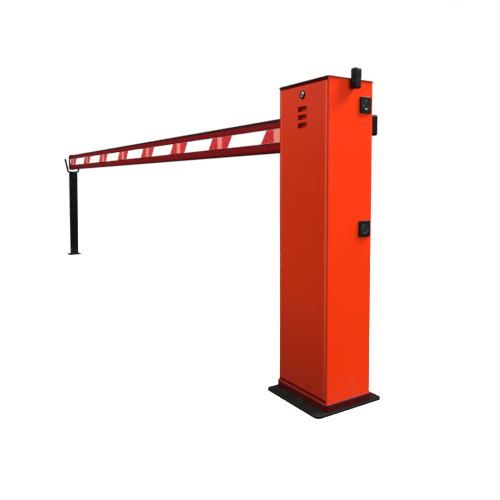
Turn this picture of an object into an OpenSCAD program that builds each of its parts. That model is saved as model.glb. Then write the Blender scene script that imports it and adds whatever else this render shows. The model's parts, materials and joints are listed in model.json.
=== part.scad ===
// Parking barrier gate: steel drive cabinet, four-metre boom and its rest post.
// Millimetres, +Z up. The origin is on the ground at the centre of the cabinet.
// The door faces -Y. The boom hangs behind the rear wall and reaches towards -X.

/* [Cabinet] */
// Width of the cabinet, along X
cabinet_w = 260; // [240:1:320]
// Depth of the cabinet, along Y
cabinet_d = 195; // [180:1:230]
// Height of the lid's top above the ground
total_h = 1080; // [1060:1:1300]
// Thickness of the folded steel sheet
sheet_t = 2; // [1.5:0.5:3]
// Outer radius of the folded upright corners
cabinet_corner_r = 5; // [3:0.5:8]
// Thickness of the lid
lid_t = 3; // [2:0.5:5]
// How far the lid stands past the walls
lid_overhang = 3.5; // [2:0.5:6]
// Corner radius of the lid
lid_corner_r = 10; // [8:1:16]

/* [Base] */
// Width of the foundation plate
plate_w = 286; // [276:1:350]
// Depth of the foundation plate
plate_d = 290; // [220:1:330]
// Thickness of the foundation plate
plate_t = 8; // [6:1:12]
// Corner radius of the foundation plate
plate_corner_r = 18; // [10:1:25]
// Height of the plinth on the plate
plinth_h = 26; // [20:1:40]
// How far the plinth stands past the walls
plinth_out = 5; // [3:0.5:8]
// Radius of the plinth's outer top edge
plinth_edge_r = 5; // [3:0.5:6]
// Distance between ground anchors, along X
anchor_span_x = 170; // [150:1:190]
// Distance between ground anchors, along Y
anchor_span_y = 100; // [90:1:110]
// Diameter of the ground anchor holes
anchor_hole_d = 13; // [10:0.5:15]

/* [Door] */
// Gap between the door and the side walls
door_gap = 2; // [1:0.5:4]
// Gap between the plinth and the door's lower edge
door_lift = 7.5; // [7:0.5:12]
// Height of the fixed rail above the door
header_h = 8; // [6:1:12]
// Depth of the folded edges of the door
door_fold = 16; // [15:1:18]
// Width of one louvre
louvre_w = 47; // [35:1:60]
// Height of one louvre
louvre_h = 17; // [12:1:20]
// Distance between louvres
louvre_pitch = 27; // [24:1:35]
// Number of louvres
louvre_count = 3; // [1:1:5]
// How deep a louvre is pressed in at its lower edge
louvre_depth = 11; // [6:1:13]
// Diameter of the lock's face
lock_d = 19; // [15:1:22]
// Distance from the lid's top to the lock's centre
lock_drop = 42.5; // [38:0.5:60]

/* [Boom] */
// Height of the boom's pivot above the ground
pivot_z = 945; // [930:1:960]
// Distance from the pivot to the boom's tip
boom_l = 4120; // [3000:10:4500]
// Height of the boom with its rails
boom_h = 147; // [140:1:160]
// Height of the white middle of the boom
boom_web_h = 59; // [50:1:70]
// Depth of the boom, along Y
boom_d = 45; // [40:1:50]
// Wall of the boom's profile
boom_wall = 2.5; // [2:0.5:4]
// Distance from the rear wall to the boom
boom_standoff = 20; // [18:0.5:30]
// Length of a reflective band
band_l = 202; // [150:1:250]
// Distance from the pivot to the first band
band_start = 322; // [300:1:400]
// Number of bands on each side, spread evenly
band_count = 8; // [4:1:8]

/* [Post] */
// Distance from the boom's tip back to the post's centre
post_inset = 65; // [40:5:400]
// Width of the square post
post_w = 70; // [60:1:80]
// Wall of the post
post_wall = 3; // [2:0.5:5]
// Height of the free space between the fork and the boom
fork_gap = 20; // [8:1:40]
// Diameter of the fork's bar
fork_d = 18; // [12:1:22]
// Width of the fork at its foot, between bar centres
fork_foot_w = 104; // [96:1:120]
// Width of the fork at its tips, between bar centres
fork_tip_w = 150; // [120:1:200]
// Width of the post's square foot plate
foot_w = 120; // [110:1:160]
// Thickness of the post's foot plate
foot_t = 8; // [6:1:12]
// Distance between the foot's anchors
foot_span = 90; // [86:1:120]
// Diameter of the foot's anchor holes
foot_hole_d = 11; // [8:0.5:13]

/* [Drive] */
// Diameter of the main shaft
shaft_d = 30; // [25:1:32]
// Outer diameter of the shaft's bearings
bearing_d = 62; // [55:1:70]
// Width of a bearing
bearing_w = 16; // [12:1:18]
// Distance from the pivot down to the gearbox's output shaft
drive_drop = 255; // [240:1:280]
// Throw of the crank and of the rocker's rod arm
crank_r = 60; // [50:1:66]
// Throw of the rocker's spring arm
spring_r = 70; // [66:1:72]
// Diameter of the pivot pins
pin_d = 14; // [10:1:16]
// Thickness of the levers
lever_t = 12; // [10:1:13]
// Width of the levers' eyes
lever_w = 30; // [26:1:34]
// Diameter of the motor's barrel
motor_d = 84; // [70:1:86]
// Length of the motor's barrel
motor_l = 165; // [120:5:200]
// Outer diameter of the balance spring
spring_d = 38; // [30:1:38]

/* [Side fittings] */
// Width of a photocell housing
cell_w = 50; // [40:1:60]
// Height of a photocell housing
cell_h = 55; // [45:1:65]
// How far a photocell housing stands out of the wall
cell_out = 6; // [4:0.5:10]
// Diameter of a photocell's lens ring
cell_ring_d = 34; // [26:1:38]
// Height of the upper photocell's centre
cell_high_z = 999; // [985:1:1005]
// Height of the lower photocell's centre
cell_low_z = 592; // [300:1:700]
// Distance from a photocell's centre to the rear wall
cell_inset = 36; // [32:1:60]
// Height of the antenna block
antenna_h = 65; // [55:1:90]
// How far the antenna stands above the lid
antenna_up = 31; // [20:1:50]
// Depth of the antenna block, along X
antenna_x = 24; // [20:1:30]
// Width of the antenna block, along Y
antenna_y = 25; // [20:1:34]

/* [Hidden] */
$fn = 48;

// Fits
run_gap = 0.05;        // radial clearance of a shaft in its bearing
seat_gap = 0.3;        // clearance of a piece that only lies near another
bolt_gap = 0.5;        // radial clearance of a bolt in its hole

// Cabinet
half_w = cabinet_w / 2;
half_d = cabinet_d / 2;
inner_w = half_w - sheet_t;
wall_y = half_d - sheet_t;
plinth_top = plate_t + plinth_h;
plinth_t = 3;
plinth_ledge = 40;
shell_top = total_h - lid_t;
foot_flange_w = 34;
lid_flange_w = 20;
lid_screw_d = 6;
lid_screw_x = inner_w - 11;
lid_screw_y = half_d - 40;
stud_span_x = 2 * (inner_w - 20);
stud_span_y = 2 * (half_d - 36);
stud_d = 10;
stud_up = 20;
cable_hole_x = 110;
cable_hole_y = 70;

// Door
door_bottom = plinth_top + door_lift;
door_top = shell_top - header_h;
door_w = 2 * (inner_w - door_gap);
door_back = -half_d + door_fold;
rebate_y = door_back + 5.5;
rebate_w = 20;
header_lap = 17;
sill_lap = 20;
door_pin_y = -half_d + door_fold / 2;
door_pin_z = door_bottom + 6;
door_pin_d = 8;
door_pin_x = 70;
door_pin_l = 34;
tongue_w = 24;
tongue_t = 3;
tongue_z = door_pin_z + 2;

// Lock
lock_z = total_h - lock_drop;
louvre_top_z = lock_z - 38.5;
lock_flange_t = 3;
lock_thread_d = lock_d + 4;
lock_tail_d = 8;
cam_y0 = rebate_y + sheet_t + 0.5;
cam_t = 3;
cam_reach = 28;

// Side fittings
cell_corner_r = 6;
cell_edge_r = 2;
cell_pocket = 3;
cell_ring_t = 4;
cell_spigot_d = 15;
cell_spigot_l = 14;
antenna_x0 = half_w + lid_overhang + 1;
antenna_mid_y = 4.5;
antenna_z = total_h + antenna_up - antenna_h;

// Boom
boom_y0 = half_d + boom_standoff;
boom_y1 = boom_y0 + boom_d;
boom_yc = (boom_y0 + boom_y1) / 2;
boom_root = 40;
boom_neck = 13;
neck_d = boom_d - 12;
rail_h = (boom_h - boom_web_h) / 2;
cap_l = 50;
cap_end_t = 5;
cap_wall = 4;
cap_round = 22;
boom_end = boom_l - cap_end_t - 1;
band_t = 0.4;
band_lean = 44;
band_inset = 0.5;
band_end_gap = 2;
band_room = boom_l - cap_l - band_end_gap - band_start - band_lean - band_l;
band_pitch = band_room / (band_count - 1);

// Boom holder
holder_t = 8;
clamp_t = 6;
tail_l = 84;
tail_h = 72;
holder_l = 310;
holder_h = 136;
holder_taper = 60;
holder_cut = 14;
tail_cut = 5;
tail_r = 10;
holder_bolt_x = [-110, -280];
holder_bolt_z = 18;
holder_bolt_d = 12;
seal_ring_t = 4;

// Drive, along Y
frame_y0 = 4;
frame_t = 8;
frame_y1 = frame_y0 + frame_t;
rod_y0 = 28;
lever_y0 = rod_y0 + lever_t + 2;
lever_y1 = lever_y0 + lever_t;
pin_y0 = rod_y0 - 1;
pin_y1 = lever_y1 + 3;
hub_y1 = lever_y1 + 14;
hub_d = 54;
rear_housing_w = 96;
rear_housing_t = 10;
front_flange_t = 6;
front_bearing_y0 = frame_y0 + 6 - bearing_w;
rear_bearing_y0 = wall_y - bearing_w - 2;
bearing_bolt_span = 74;
bearing_bolt_d = 8;
shaft_front = -46;
shaft_step = front_bearing_y0 - 3;
shaft_back = boom_y1 + clamp_t;
cam_shaft_d = 20;
cam_disc_t = 8;
cam_disc_d = 44;
cam_disc_y = [-44, -32];

// Drive, across
drive_z = pivot_z - drive_drop;
lever_angle = 45;
rod_pin = crank_r * [-cos(lever_angle), -sin(lever_angle)];
spring_pin = spring_r * [cos(lever_angle), sin(lever_angle)];
frame_w = 230;
frame_bottom = drive_z - 50;
frame_top = pivot_z + 90;
spacer_d = 22;
spacer_x = frame_w / 2 - 13;
spacer_low_z = frame_bottom + 14;
spacer_high_z = frame_top - 14;
stop_d = 20;
stop_pin_d = 8;
stop_reach = 58;
lever_arm_w = lever_w - 4;
rod_shank_d = lever_t - 2;
bush_t = 2;

// Gearbox and motor
gearbox_w = 124;
gearbox_h = 120;
gearbox_y0 = -58;
gearbox_cover_t = 5;
output_d = 28;
motor_y = -28;
release_x = 36;
release_z = drive_z + 26;
release_l = 70;
release_t = 6;
release_pin_d = 10;
release_pin_l = 8;

// Balance spring
link_l = 150;
link_shank_d = lever_t + 2;
spring_wire = 5;
spring_y = rod_y0 + lever_t / 2;
spring_top = pivot_z + spring_pin[1] - link_l - seat_gap;
anchor_z = 330;
spring_low = anchor_z + 50;

// Electrics
control_x = -118;
control_w = 136;
control_z = 110;
control_h = 220;
control_base_d = 50;
control_lid_d = 16;

// Post
post_reach = boom_l - post_inset;
fork_low_z = pivot_z - boom_h / 2 - fork_gap - fork_d / 2;
post_top = fork_low_z - fork_d / 2 + 2;
foot_turn = 16;
bend_r = 18;
flare = 12;
foot_r = (fork_foot_w / 2 - bend_r * (1 - sin(foot_turn))) / sin(foot_turn);

// ---- shared shapes ----

// Upright slab with rounded corners, standing on z = 0, centred in X and Y.
module rounded_box(w, d, h, r) {
    linear_extrude(h) rounded_outline(w, d, r);
}

// Rectangle with true round corners.
module rounded_outline(w, d, r) {
    square([w - 2 * r, d], center = true);
    square([w, d - 2 * r], center = true);
    for (x = [-1, 1], y = [-1, 1])
        translate([x * (w / 2 - r), y * (d / 2 - r)]) circle(r);
}

// Slab whose top edge is rounded as well; edge must be less than corner.
module soft_slab(w, d, h, corner, edge) {
    rounded_box(w, d, h - edge, corner);
    rounded_box(w - 2 * edge, d - 2 * edge, h, corner - edge);
    for (x = [-1, 1], y = [-1, 1])
        translate([x * (w / 2 - corner), y * (d / 2 - corner), h - edge])
            rotate_extrude() translate([corner - edge, 0]) circle(edge);
    for (y = [-1, 1])
        translate([-(w / 2 - corner), y * (d / 2 - edge), h - edge])
            rotate([0, 90, 0]) cylinder(h = w - 2 * corner, r = edge);
    for (x = [-1, 1])
        translate([x * (w / 2 - edge), -(d / 2 - corner), h - edge])
            rotate([-90, 0, 0]) cylinder(h = d - 2 * corner, r = edge);
}

// Round bar along Y at [x, z].
module bar_y(at, y0, y1, d) {
    translate([at[0], y0, at[1]]) rotate([-90, 0, 0]) cylinder(h = y1 - y0, d = d);
}

// Hexagon prism along Y at [x, z]; af is the distance across flats.
module hex_y(at, y0, y1, af) {
    translate([at[0], y0, at[1]]) rotate([-90, 0, 0])
        cylinder(h = y1 - y0, d = af / cos(30), $fn = 6);
}

// Block from its low corner to its high corner.
module block(low, high) {
    translate(low) cube(high - low);
}

// Four places of a centred rectangle.
module at_corners(span_x, span_y) {
    for (x = [-1, 1], y = [-1, 1])
        translate([x * span_x / 2, y * span_y / 2, 0]) children();
}

// Copies its children to the other side of the middle plane.
module both_sides() {
    children();
    mirror([1, 0, 0]) children();
}

// Flat outline in X and Z, made solid from y0 to y1.
module plate_y(y0, y1) {
    translate([0, y1, 0]) rotate([90, 0, 0]) linear_extrude(y1 - y0) children();
}

// Flat outline in Y and Z, made solid from x0 to x1.
module plate_x(x0, x1) {
    translate([x0, 0, 0]) rotate([90, 0, 90]) linear_extrude(x1 - x0) children();
}

// Hexagon bolt along Y: head, washer and shank; the head faces -Y.
module bolt_y(at, face_y, end_y, d) {
    washer_t = 2;
    bar_y(at, face_y - washer_t, face_y, 2 * d + 2);
    hex_y(at, face_y - washer_t - 0.65 * d, face_y - washer_t, 1.65 * d);
    bar_y(at, face_y, end_y, d);
}

// ---- base ----

module foundation_plate() {
    color("#20211f") difference() {
        rounded_box(plate_w, plate_d, plate_t, plate_corner_r);
        translate([0, 0, -1]) rounded_box(cable_hole_x, cable_hole_y, plate_t + 2, 10);
        at_corners(anchor_span_x, anchor_span_y)
            translate([0, 0, -1]) cylinder(h = plate_t + 2, d = anchor_hole_d);
    }
}

module plate_studs() {
    color("silver") at_corners(stud_span_x, stud_span_y)
        translate([0, 0, plate_t]) cylinder(h = plinth_h + stud_up, d = stud_d);
}

// A washer and a hexagon nut in one piece on each stud.
module stud_nuts() {
    washer_t = 2;
    nut_t = 8;
    color("silver") translate([0, 0, plinth_top + sheet_t]) at_corners(stud_span_x, stud_span_y)
        difference() {
            union() {
                cylinder(h = washer_t, d = 2 * stud_d);
                translate([0, 0, washer_t]) cylinder(h = nut_t, d = 1.7 * stud_d / cos(30), $fn = 6);
            }
            translate([0, 0, -1]) cylinder(h = washer_t + nut_t + 2, d = stud_d + 2 * run_gap);
        }
}

// Open frame with a flat top that carries the cabinet's feet.
module plinth() {
    outer_w = cabinet_w + 2 * plinth_out;
    outer_d = cabinet_d + 2 * plinth_out;
    corner = cabinet_corner_r + plinth_out;
    wall = plinth_out + plinth_t;
    color("#33100e") translate([0, 0, plate_t]) difference() {
        soft_slab(outer_w, outer_d, plinth_h, corner, plinth_edge_r);
        translate([0, 0, -1])
            rounded_box(outer_w - 2 * wall, outer_d - 2 * wall, plinth_h - plinth_t + 1, plinth_t);
        rounded_box(outer_w - 2 * wall - 2 * plinth_ledge, outer_d - 2 * wall - 2 * plinth_ledge,
            plinth_h + 1, plinth_t);
        at_corners(stud_span_x, stud_span_y) cylinder(h = plinth_h + 1, d = stud_d + 2 * bolt_gap);
    }
}

// ---- cabinet ----

module shell_walls() {
    h = shell_top - plinth_top;
    difference() {
        rounded_box(cabinet_w, cabinet_d, h, cabinet_corner_r);
        translate([0, 0, -1]) rounded_box(cabinet_w - 2 * sheet_t, cabinet_d - 2 * sheet_t,
            h + 2, cabinet_corner_r - sheet_t);
        block([-inner_w, -half_d - 1, -1], [inner_w, rebate_y, h + 1]);
    }
}

// Rebate that the door closes against: two uprights, a header and a sill.
module shell_rebate() {
    rebate_y1 = rebate_y + sheet_t;
    both_sides() block([inner_w - rebate_w, rebate_y, plinth_top], [inner_w, rebate_y1, shell_top]);
    block([-inner_w, rebate_y, door_top - header_lap], [inner_w, rebate_y1, shell_top]);
    block([-inner_w, rebate_y, plinth_top], [inner_w, rebate_y1, door_bottom + sill_lap]);
    block([-inner_w, -half_d, door_top + door_gap], [inner_w, -half_d + sheet_t, shell_top]);
    block([-inner_w, -half_d, shell_top - sheet_t], [inner_w, rebate_y, shell_top]);
}

// Feet at the bottom and lid flanges at the top, folded inwards.
module shell_flanges() {
    both_sides() {
        block([inner_w - foot_flange_w, rebate_y, plinth_top], [inner_w, wall_y, plinth_top + sheet_t]);
        block([inner_w - lid_flange_w, rebate_y, shell_top - sheet_t], [inner_w, wall_y, shell_top]);
    }
}

module cabinet_shell() {
    color("#e2400f") difference() {
        union() {
            translate([0, 0, plinth_top]) shell_walls();
            shell_rebate();
            shell_flanges();
        }
        translate([0, 0, plinth_top - 1]) at_corners(stud_span_x, stud_span_y)
            cylinder(h = sheet_t + 2, d = stud_d + 2 * bolt_gap);
        translate([0, 0, shell_top - sheet_t - 1]) at_corners(2 * lid_screw_x, 2 * lid_screw_y)
            cylinder(h = sheet_t + 2, d = lid_screw_d + 2 * run_gap);
        bar_y([0, pivot_z], wall_y - 1, half_d + 1, shaft_d + 14);
        at_bearing_bolts() bar_y([0, 0], wall_y - 1, half_d + 1, bearing_bolt_d + 2 * run_gap);
        at_cells() cylinder(h = 3 * sheet_t, d = cell_spigot_d + 2 * bolt_gap, center = true);
        at_door_pins() block([-tongue_w / 2 - 1, rebate_y - 1, tongue_z - seat_gap],
            [tongue_w / 2 + 1, rebate_y + sheet_t + 1, tongue_z + tongue_t + seat_gap]);
    }
}

module lid() {
    color("#3c1213") translate([0, 0, shell_top]) difference() {
        soft_slab(cabinet_w + 2 * lid_overhang, cabinet_d + 2 * lid_overhang, lid_t,
            lid_corner_r, lid_t / 3);
        translate([0, 0, -1]) at_corners(2 * lid_screw_x, 2 * lid_screw_y)
            cylinder(h = lid_t + 2, d = lid_screw_d + 2 * run_gap);
    }
}

// Low heads on the lid, with their threads below it.
module lid_screws() {
    thread_l = 14;
    color("#3a3a3a") at_corners(2 * lid_screw_x, 2 * lid_screw_y) {
        translate([0, 0, shell_top - thread_l]) cylinder(h = thread_l + lid_t, d = lid_screw_d);
        translate([0, 0, total_h]) cylinder(h = 2.4, d1 = 2 * lid_screw_d, d2 = 1.4 * lid_screw_d);
    }
}

// Rubber strip on the uprights and the header of the rebate.
module door_seal() {
    seal_y = door_back + seat_gap;
    seal_w = 9;
    seal_x = door_w / 2 - seal_w - 1;
    color("#181818") {
        both_sides() block([seal_x, seal_y, door_bottom + sill_lap + 2],
            [seal_x + seal_w, rebate_y, door_top - 1]);
        block([-seal_x, seal_y, door_top - seal_w - 1], [seal_x, rebate_y, door_top - 1]);
    }
}

// A tongue through the sill on each side, with the round pin that a door hook hangs on.
module door_pivots() {
    color("silver") at_door_pins() {
        block([-tongue_w / 2, door_pin_y, tongue_z], [tongue_w / 2, rebate_y + 8, tongue_z + tongue_t]);
        translate([-door_pin_l / 2, door_pin_y, door_pin_z]) rotate([0, 90, 0])
            cylinder(h = door_pin_l, d = door_pin_d);
        block([-tongue_w / 2, rebate_y + sheet_t, tongue_z + tongue_t],
            [tongue_w / 2, rebate_y + sheet_t + tongue_t, tongue_z + tongue_t + 9]);
    }
}

// ---- door ----

// Places its children at each of the door's pivots, on the middle plane of the tongue.
module at_door_pins() {
    for (x = [-1, 1]) translate([x * door_pin_x, 0, 0]) children();
}

// Places its children at each louvre, at its upper edge on the door's front.
module at_louvres() {
    for (i = [0 : louvre_count - 1])
        translate([0, -half_d, louvre_top_z - i * louvre_pitch]) children();
}

// Pocket pressed inwards, deepest at its lower edge; its underside is open behind the sheet.
module louvre_pocket() {
    plate_x(-louvre_w / 2 - sheet_t, louvre_w / 2 + sheet_t)
        polygon([[0, 0], [sheet_t, sheet_t], [louvre_depth + sheet_t, -louvre_h], [0, -louvre_h]]);
}

module louvre_hollow() {
    plate_x(-louvre_w / 2, louvre_w / 2) polygon([[-1, 0], [0, 0], [louvre_depth, -louvre_h],
        [louvre_depth, -louvre_h - 1], [sheet_t, -louvre_h - 1], [sheet_t, -louvre_h], [-1, -louvre_h]]);
}

// Pan of folded sheet, open at the back, with its pressed louvres. The lower fold is cut away
// below each pair of hooks, so that the door can be lifted off its pins.
module door_panel() {
    half = door_w / 2;
    notch = door_pin_l / 2 + 1;
    color("#c23511") difference() {
        union() {
            difference() {
                block([-half, -half_d, door_bottom], [half, door_back, door_top]);
                block([-half + sheet_t, -half_d + sheet_t, door_bottom + sheet_t],
                    [half - sheet_t, door_back + 1, door_top - sheet_t]);
                at_door_pins() block([-notch, -half_d + sheet_t + 1, door_bottom - 1],
                    [notch, door_back + 1, door_bottom + sheet_t + 1]);
            }
            at_louvres() louvre_pocket();
            at_door_pins() both_sides() door_hook();
        }
        at_louvres() louvre_hollow();
        bar_y([0, lock_z], -half_d - 1, -half_d + sheet_t + 1, lock_thread_d + 2 * run_gap);
    }
}

// Cheek inside the pan that hangs on the pivot pin; its mouth is open downwards.
module door_hook() {
    hook_x = tongue_w / 2 + 2;
    plate_x(hook_x, hook_x + 3) difference() {
        translate([-half_d + sheet_t, door_bottom + sheet_t])
            square([door_fold - sheet_t - 1, 24]);
        translate([door_pin_y, door_pin_z]) circle(d = door_pin_d + 2 * run_gap);
        translate([door_pin_y - door_pin_d / 2 - run_gap, door_bottom])
            square([door_pin_d + 2 * run_gap, door_pin_z - door_bottom]);
    }
}

// Flanged bush that the lock turns in.
module lock_housing() {
    color("#1c1c1e") difference() {
        union() {
            bar_y([0, lock_z], -half_d - lock_flange_t, -half_d, lock_d + 9);
            bar_y([0, lock_z], -half_d, cam_y0 - 2, lock_thread_d);
        }
        bar_y([0, lock_z], -half_d - lock_flange_t - 1, cam_y0, lock_d + 2 * run_gap);
    }
}

module lock_nut() {
    color("silver") difference() {
        hex_y([0, lock_z], -half_d + sheet_t, -half_d + sheet_t + 5, lock_thread_d + 8);
        bar_y([0, lock_z], -half_d, -half_d + sheet_t + 6, lock_thread_d + 2 * run_gap);
    }
}

// Nickel plug with a key slot in its face and a square tail for the cam.
module lock_barrel() {
    face_y = -half_d - lock_flange_t - 1;
    color("#d9d9d6") difference() {
        union() {
            bar_y([0, lock_z], face_y, cam_y0, lock_d);
            bar_y([0, lock_z], cam_y0, cam_y0 + cam_t + 4, lock_tail_d);
        }
        block([-1.2, face_y - 1, lock_z - 4.5], [1.2, face_y + 3, lock_z + 4.5]);
    }
}

// Flat finger that turns up behind the header.
module lock_cam() {
    cam_w = 14;
    color("silver") plate_y(cam_y0, cam_y0 + cam_t) translate([0, lock_z]) difference() {
        union() {
            circle(d = cam_w + 4);
            translate([-cam_reach, -cam_w / 2]) square([cam_reach, cam_w]);
        }
        circle(d = lock_tail_d + 2 * run_gap);
    }
}

// ---- side fittings ----

// Places its children at each photocell, with +Z pointing out of the wall.
module at_cell(z) {
    translate([half_w, half_d - cell_inset, z]) rotate([0, 90, 0]) children();
}

module at_cells() {
    for (z = [cell_high_z, cell_low_z]) at_cell(z) children();
}

module photocell_housing() {
    color("#141414") difference() {
        union() {
            soft_slab(cell_h, cell_w, cell_out, cell_corner_r, cell_edge_r);
            translate([0, 0, -cell_spigot_l]) cylinder(h = cell_spigot_l + 1, d = cell_spigot_d);
        }
        translate([0, 0, cell_out - cell_pocket]) cylinder(h = cell_pocket + 1, d = cell_ring_d + 0.4);
        translate([0, 0, -cell_spigot_l - 1]) cylinder(h = cell_spigot_l + 2, d = cell_spigot_d - 5);
    }
}

module photocell_rings() {
    color("#5c6062") at_cells() translate([0, 0, cell_out - cell_pocket]) difference() {
        cylinder(h = cell_pocket + 0.5, d = cell_ring_d);
        translate([0, 0, -1]) cylinder(h = cell_pocket + 3, d = cell_ring_d - 2 * cell_ring_t);
    }
}

// Window in the ring, with a bevelled edge.
module photocell_lenses() {
    lens_r = cell_ring_d / 2 - cell_ring_t - run_gap;
    color("#1b2b26") at_cells() translate([0, 0, cell_out - cell_pocket]) {
        cylinder(h = cell_pocket - 0.7, r = lens_r);
        translate([0, 0, cell_pocket - 0.7]) cylinder(h = 1, r1 = lens_r, r2 = lens_r - 3);
    }
}

// Block on a pad, with its screws and cable inside, hung on the wall below the lid.
module antenna_base() {
    color("#101010") {
        block([half_w, antenna_mid_y - antenna_y / 3, antenna_z],
            [antenna_x0 + 2, antenna_mid_y + antenna_y / 3, shell_top - 2]);
        translate([antenna_x0 + antenna_x / 2, antenna_mid_y, antenna_z])
            rounded_box(antenna_x, antenna_y - 2, antenna_h / 2, 4);
    }
}

module antenna_cap() {
    color("#161616") translate([antenna_x0 + antenna_x / 2, antenna_mid_y, antenna_z + antenna_h / 2])
        soft_slab(antenna_x + 1, antenna_y + 1, antenna_h / 2, 8, 4);
}

// ---- drive ----

// Places its children at the four bolts of a bearing housing.
module at_bearing_bolts() {
    for (x = [-1, 1], z = [-1, 1])
        translate([x * bearing_bolt_span / 2, 0, pivot_z + z * bearing_bolt_span / 2]) children();
}

module at_frame_spacers() {
    for (x = [-1, 1], z = [spacer_low_z, spacer_high_z]) translate([x * spacer_x, 0, z]) children();
}

// Thick plate that carries the front bearing, the gearbox and the stops.
module drive_plate() {
    color("#8f9499") difference() {
        plate_y(frame_y0, frame_y1) difference() {
            translate([0, (frame_bottom + frame_top) / 2])
                rounded_outline(frame_w, frame_top - frame_bottom, 12);
            translate([0, pivot_z]) circle(d = bearing_d + 2 * run_gap);
            translate([0, drive_z]) circle(d = output_d + 12);
        }
        at_frame_spacers() bar_y([0, 0], frame_y0 - 1, frame_y1 + 1, 10 + 2 * run_gap);
        at_bearing_bolts() bar_y([0, 0], frame_y0 - 1, frame_y1 + 1, bearing_bolt_d + 2 * run_gap);
    }
}

// Four columns between the rear wall and the plate, bored for the bolts.
module frame_spacers() {
    color("#a9adb1") at_frame_spacers() difference() {
        bar_y([0, 0], frame_y1, wall_y, spacer_d);
        bar_y([0, 0], frame_y1 - 1, frame_y1 + 30, 10 + 2 * run_gap);
    }
}

module frame_bolts() {
    color("silver") at_frame_spacers() bolt_y([0, 0], frame_y0, frame_y1 + 25, 10);
}

// Square flange with a raised round boss; the boss points along +Y or -Y.
module bearing_housing(y0, y1, boss_y0, boss_y1, bore_y0, bore_y1) {
    color("#6c7176") difference() {
        union() {
            plate_y(y0, y1) translate([0, pivot_z])
                rounded_outline(rear_housing_w, rear_housing_w, 14);
            bar_y([0, pivot_z], boss_y0, boss_y1, bearing_d + 14);
        }
        bar_y([0, pivot_z], bore_y0, bore_y1, bearing_d + 2 * run_gap);
        bar_y([0, pivot_z], min(y0, boss_y0) - 1, max(y1, boss_y1) + 1, shaft_d + 14);
        at_bearing_bolts() bar_y([0, 0], y0 - 1, y1 + 1, bearing_bolt_d + 2 * run_gap);
    }
}

module rear_bearing_housing() {
    bearing_housing(wall_y - rear_housing_t, wall_y, rear_bearing_y0, wall_y,
        rear_bearing_y0 - 1, rear_bearing_y0 + bearing_w);
}

module front_bearing_housing() {
    bearing_housing(frame_y0 - front_flange_t, frame_y0, front_bearing_y0 - 2, frame_y0,
        front_bearing_y0, frame_y0 + 1);
}

module bearing_bolts() {
    color("silver") {
        at_bearing_bolts() bolt_y([0, 0], wall_y - rear_housing_t, half_d, bearing_bolt_d);
        at_bearing_bolts() bolt_y([0, 0], frame_y0 - front_flange_t, frame_y1, bearing_bolt_d);
    }
}

// Two sealed ball bearings, each shown as its closed ring.
module shaft_bearings() {
    color("#c9ccd0") for (y0 = [front_bearing_y0, rear_bearing_y0]) difference() {
        bar_y([0, pivot_z], y0, y0 + bearing_w, bearing_d);
        bar_y([0, pivot_z], y0 - 1, y0 + bearing_w + 1, shaft_d + 2 * run_gap);
        bar_y([0, pivot_z], y0 - 1, y0 + 1, bearing_d - 10);
        bar_y([0, pivot_z], y0 + bearing_w - 1, y0 + bearing_w + 1, bearing_d - 10);
    }
}

module shaft_seal() {
    color("#161616") difference() {
        bar_y([0, pivot_z], half_d, half_d + seal_ring_t, shaft_d + 22);
        bar_y([0, pivot_z], half_d - 1, half_d + seal_ring_t + 1, shaft_d + 2 * seat_gap);
    }
}

// Hollow cast box; its open side faces the door.
module gearbox_housing() {
    wall = 8;
    half = gearbox_w / 2;
    low = drive_z - gearbox_h / 2;
    high = drive_z + gearbox_h / 2;
    color("#9a9ea1") difference() {
        union() {
            plate_y(gearbox_y0, frame_y0) translate([0, drive_z])
                rounded_outline(gearbox_w, gearbox_h, 14);
            bar_y([0, drive_z], frame_y0, frame_y1, output_d + 11);
        }
        block([-half + wall, gearbox_y0 - 1, low + wall], [half - wall, frame_y0 - wall, high - wall]);
        bar_y([0, drive_z], frame_y0 - wall - 1, frame_y1 + 1, output_d + 2 * run_gap);
    }
}

// Ribbed cover with an oil plug and the seat of the release lever.
module gearbox_cover() {
    color("#85898c") {
        plate_y(gearbox_y0 - gearbox_cover_t, gearbox_y0) translate([0, drive_z])
            rounded_outline(gearbox_w, gearbox_h, 14);
        for (x = [-32, -16, 0])
            block([x - 2, gearbox_y0 - gearbox_cover_t - 3, drive_z - 40],
                [x + 2, gearbox_y0 - gearbox_cover_t, drive_z + 40]);
        hex_y([-44, drive_z + 44], gearbox_y0 - gearbox_cover_t - 6, gearbox_y0 - gearbox_cover_t, 16);
        bar_y([release_x, release_z], gearbox_y0 - gearbox_cover_t - release_pin_l,
            gearbox_y0 - gearbox_cover_t, release_pin_d);
    }
}

// Lever that frees the boom by hand; it turns on the cover's pin.
module release_lever() {
    y1 = gearbox_y0 - gearbox_cover_t - seat_gap;
    y0 = y1 - release_t;
    color("#c8b021") difference() {
        union() {
            bar_y([release_x, release_z], y0, y1, 24);
            block([release_x - 6, y0, release_z - release_l], [release_x + 6, y1 - 2, release_z]);
            bar_y([release_x, release_z - release_l], y0, y1 - 2, 18);
        }
        bar_y([release_x, release_z], y0 - 1, y1 + 1, release_pin_d + 2 * run_gap);
    }
}

// Flange, ribbed barrel, terminal box and fan cover, hung under the gearbox.
module motor() {
    top = drive_z - gearbox_h / 2;
    rib_count = 15;
    rib_pitch = 9;
    color("#4a5563") translate([0, motor_y, 0]) {
        translate([0, 0, top - 10]) cylinder(h = 10, d = motor_d + 2);
        translate([0, 0, top - 10 - motor_l]) cylinder(h = motor_l, d = motor_d - 8);
        for (i = [1 : rib_count])
            translate([0, 0, top - 14 - i * rib_pitch]) cylinder(h = 3, d = motor_d);
        translate([0, 0, top - 10 - motor_l - 22]) cylinder(h = 22, d = motor_d - 2);
        block([-motor_d / 2 - 22, -24, top - 110], [-motor_d / 2 + 8, 24, top - 40]);
    }
}

module output_shaft() {
    color("#b9bdc1") bar_y([0, drive_z], gearbox_y0 + 8, hub_y1, output_d);
}

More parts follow.
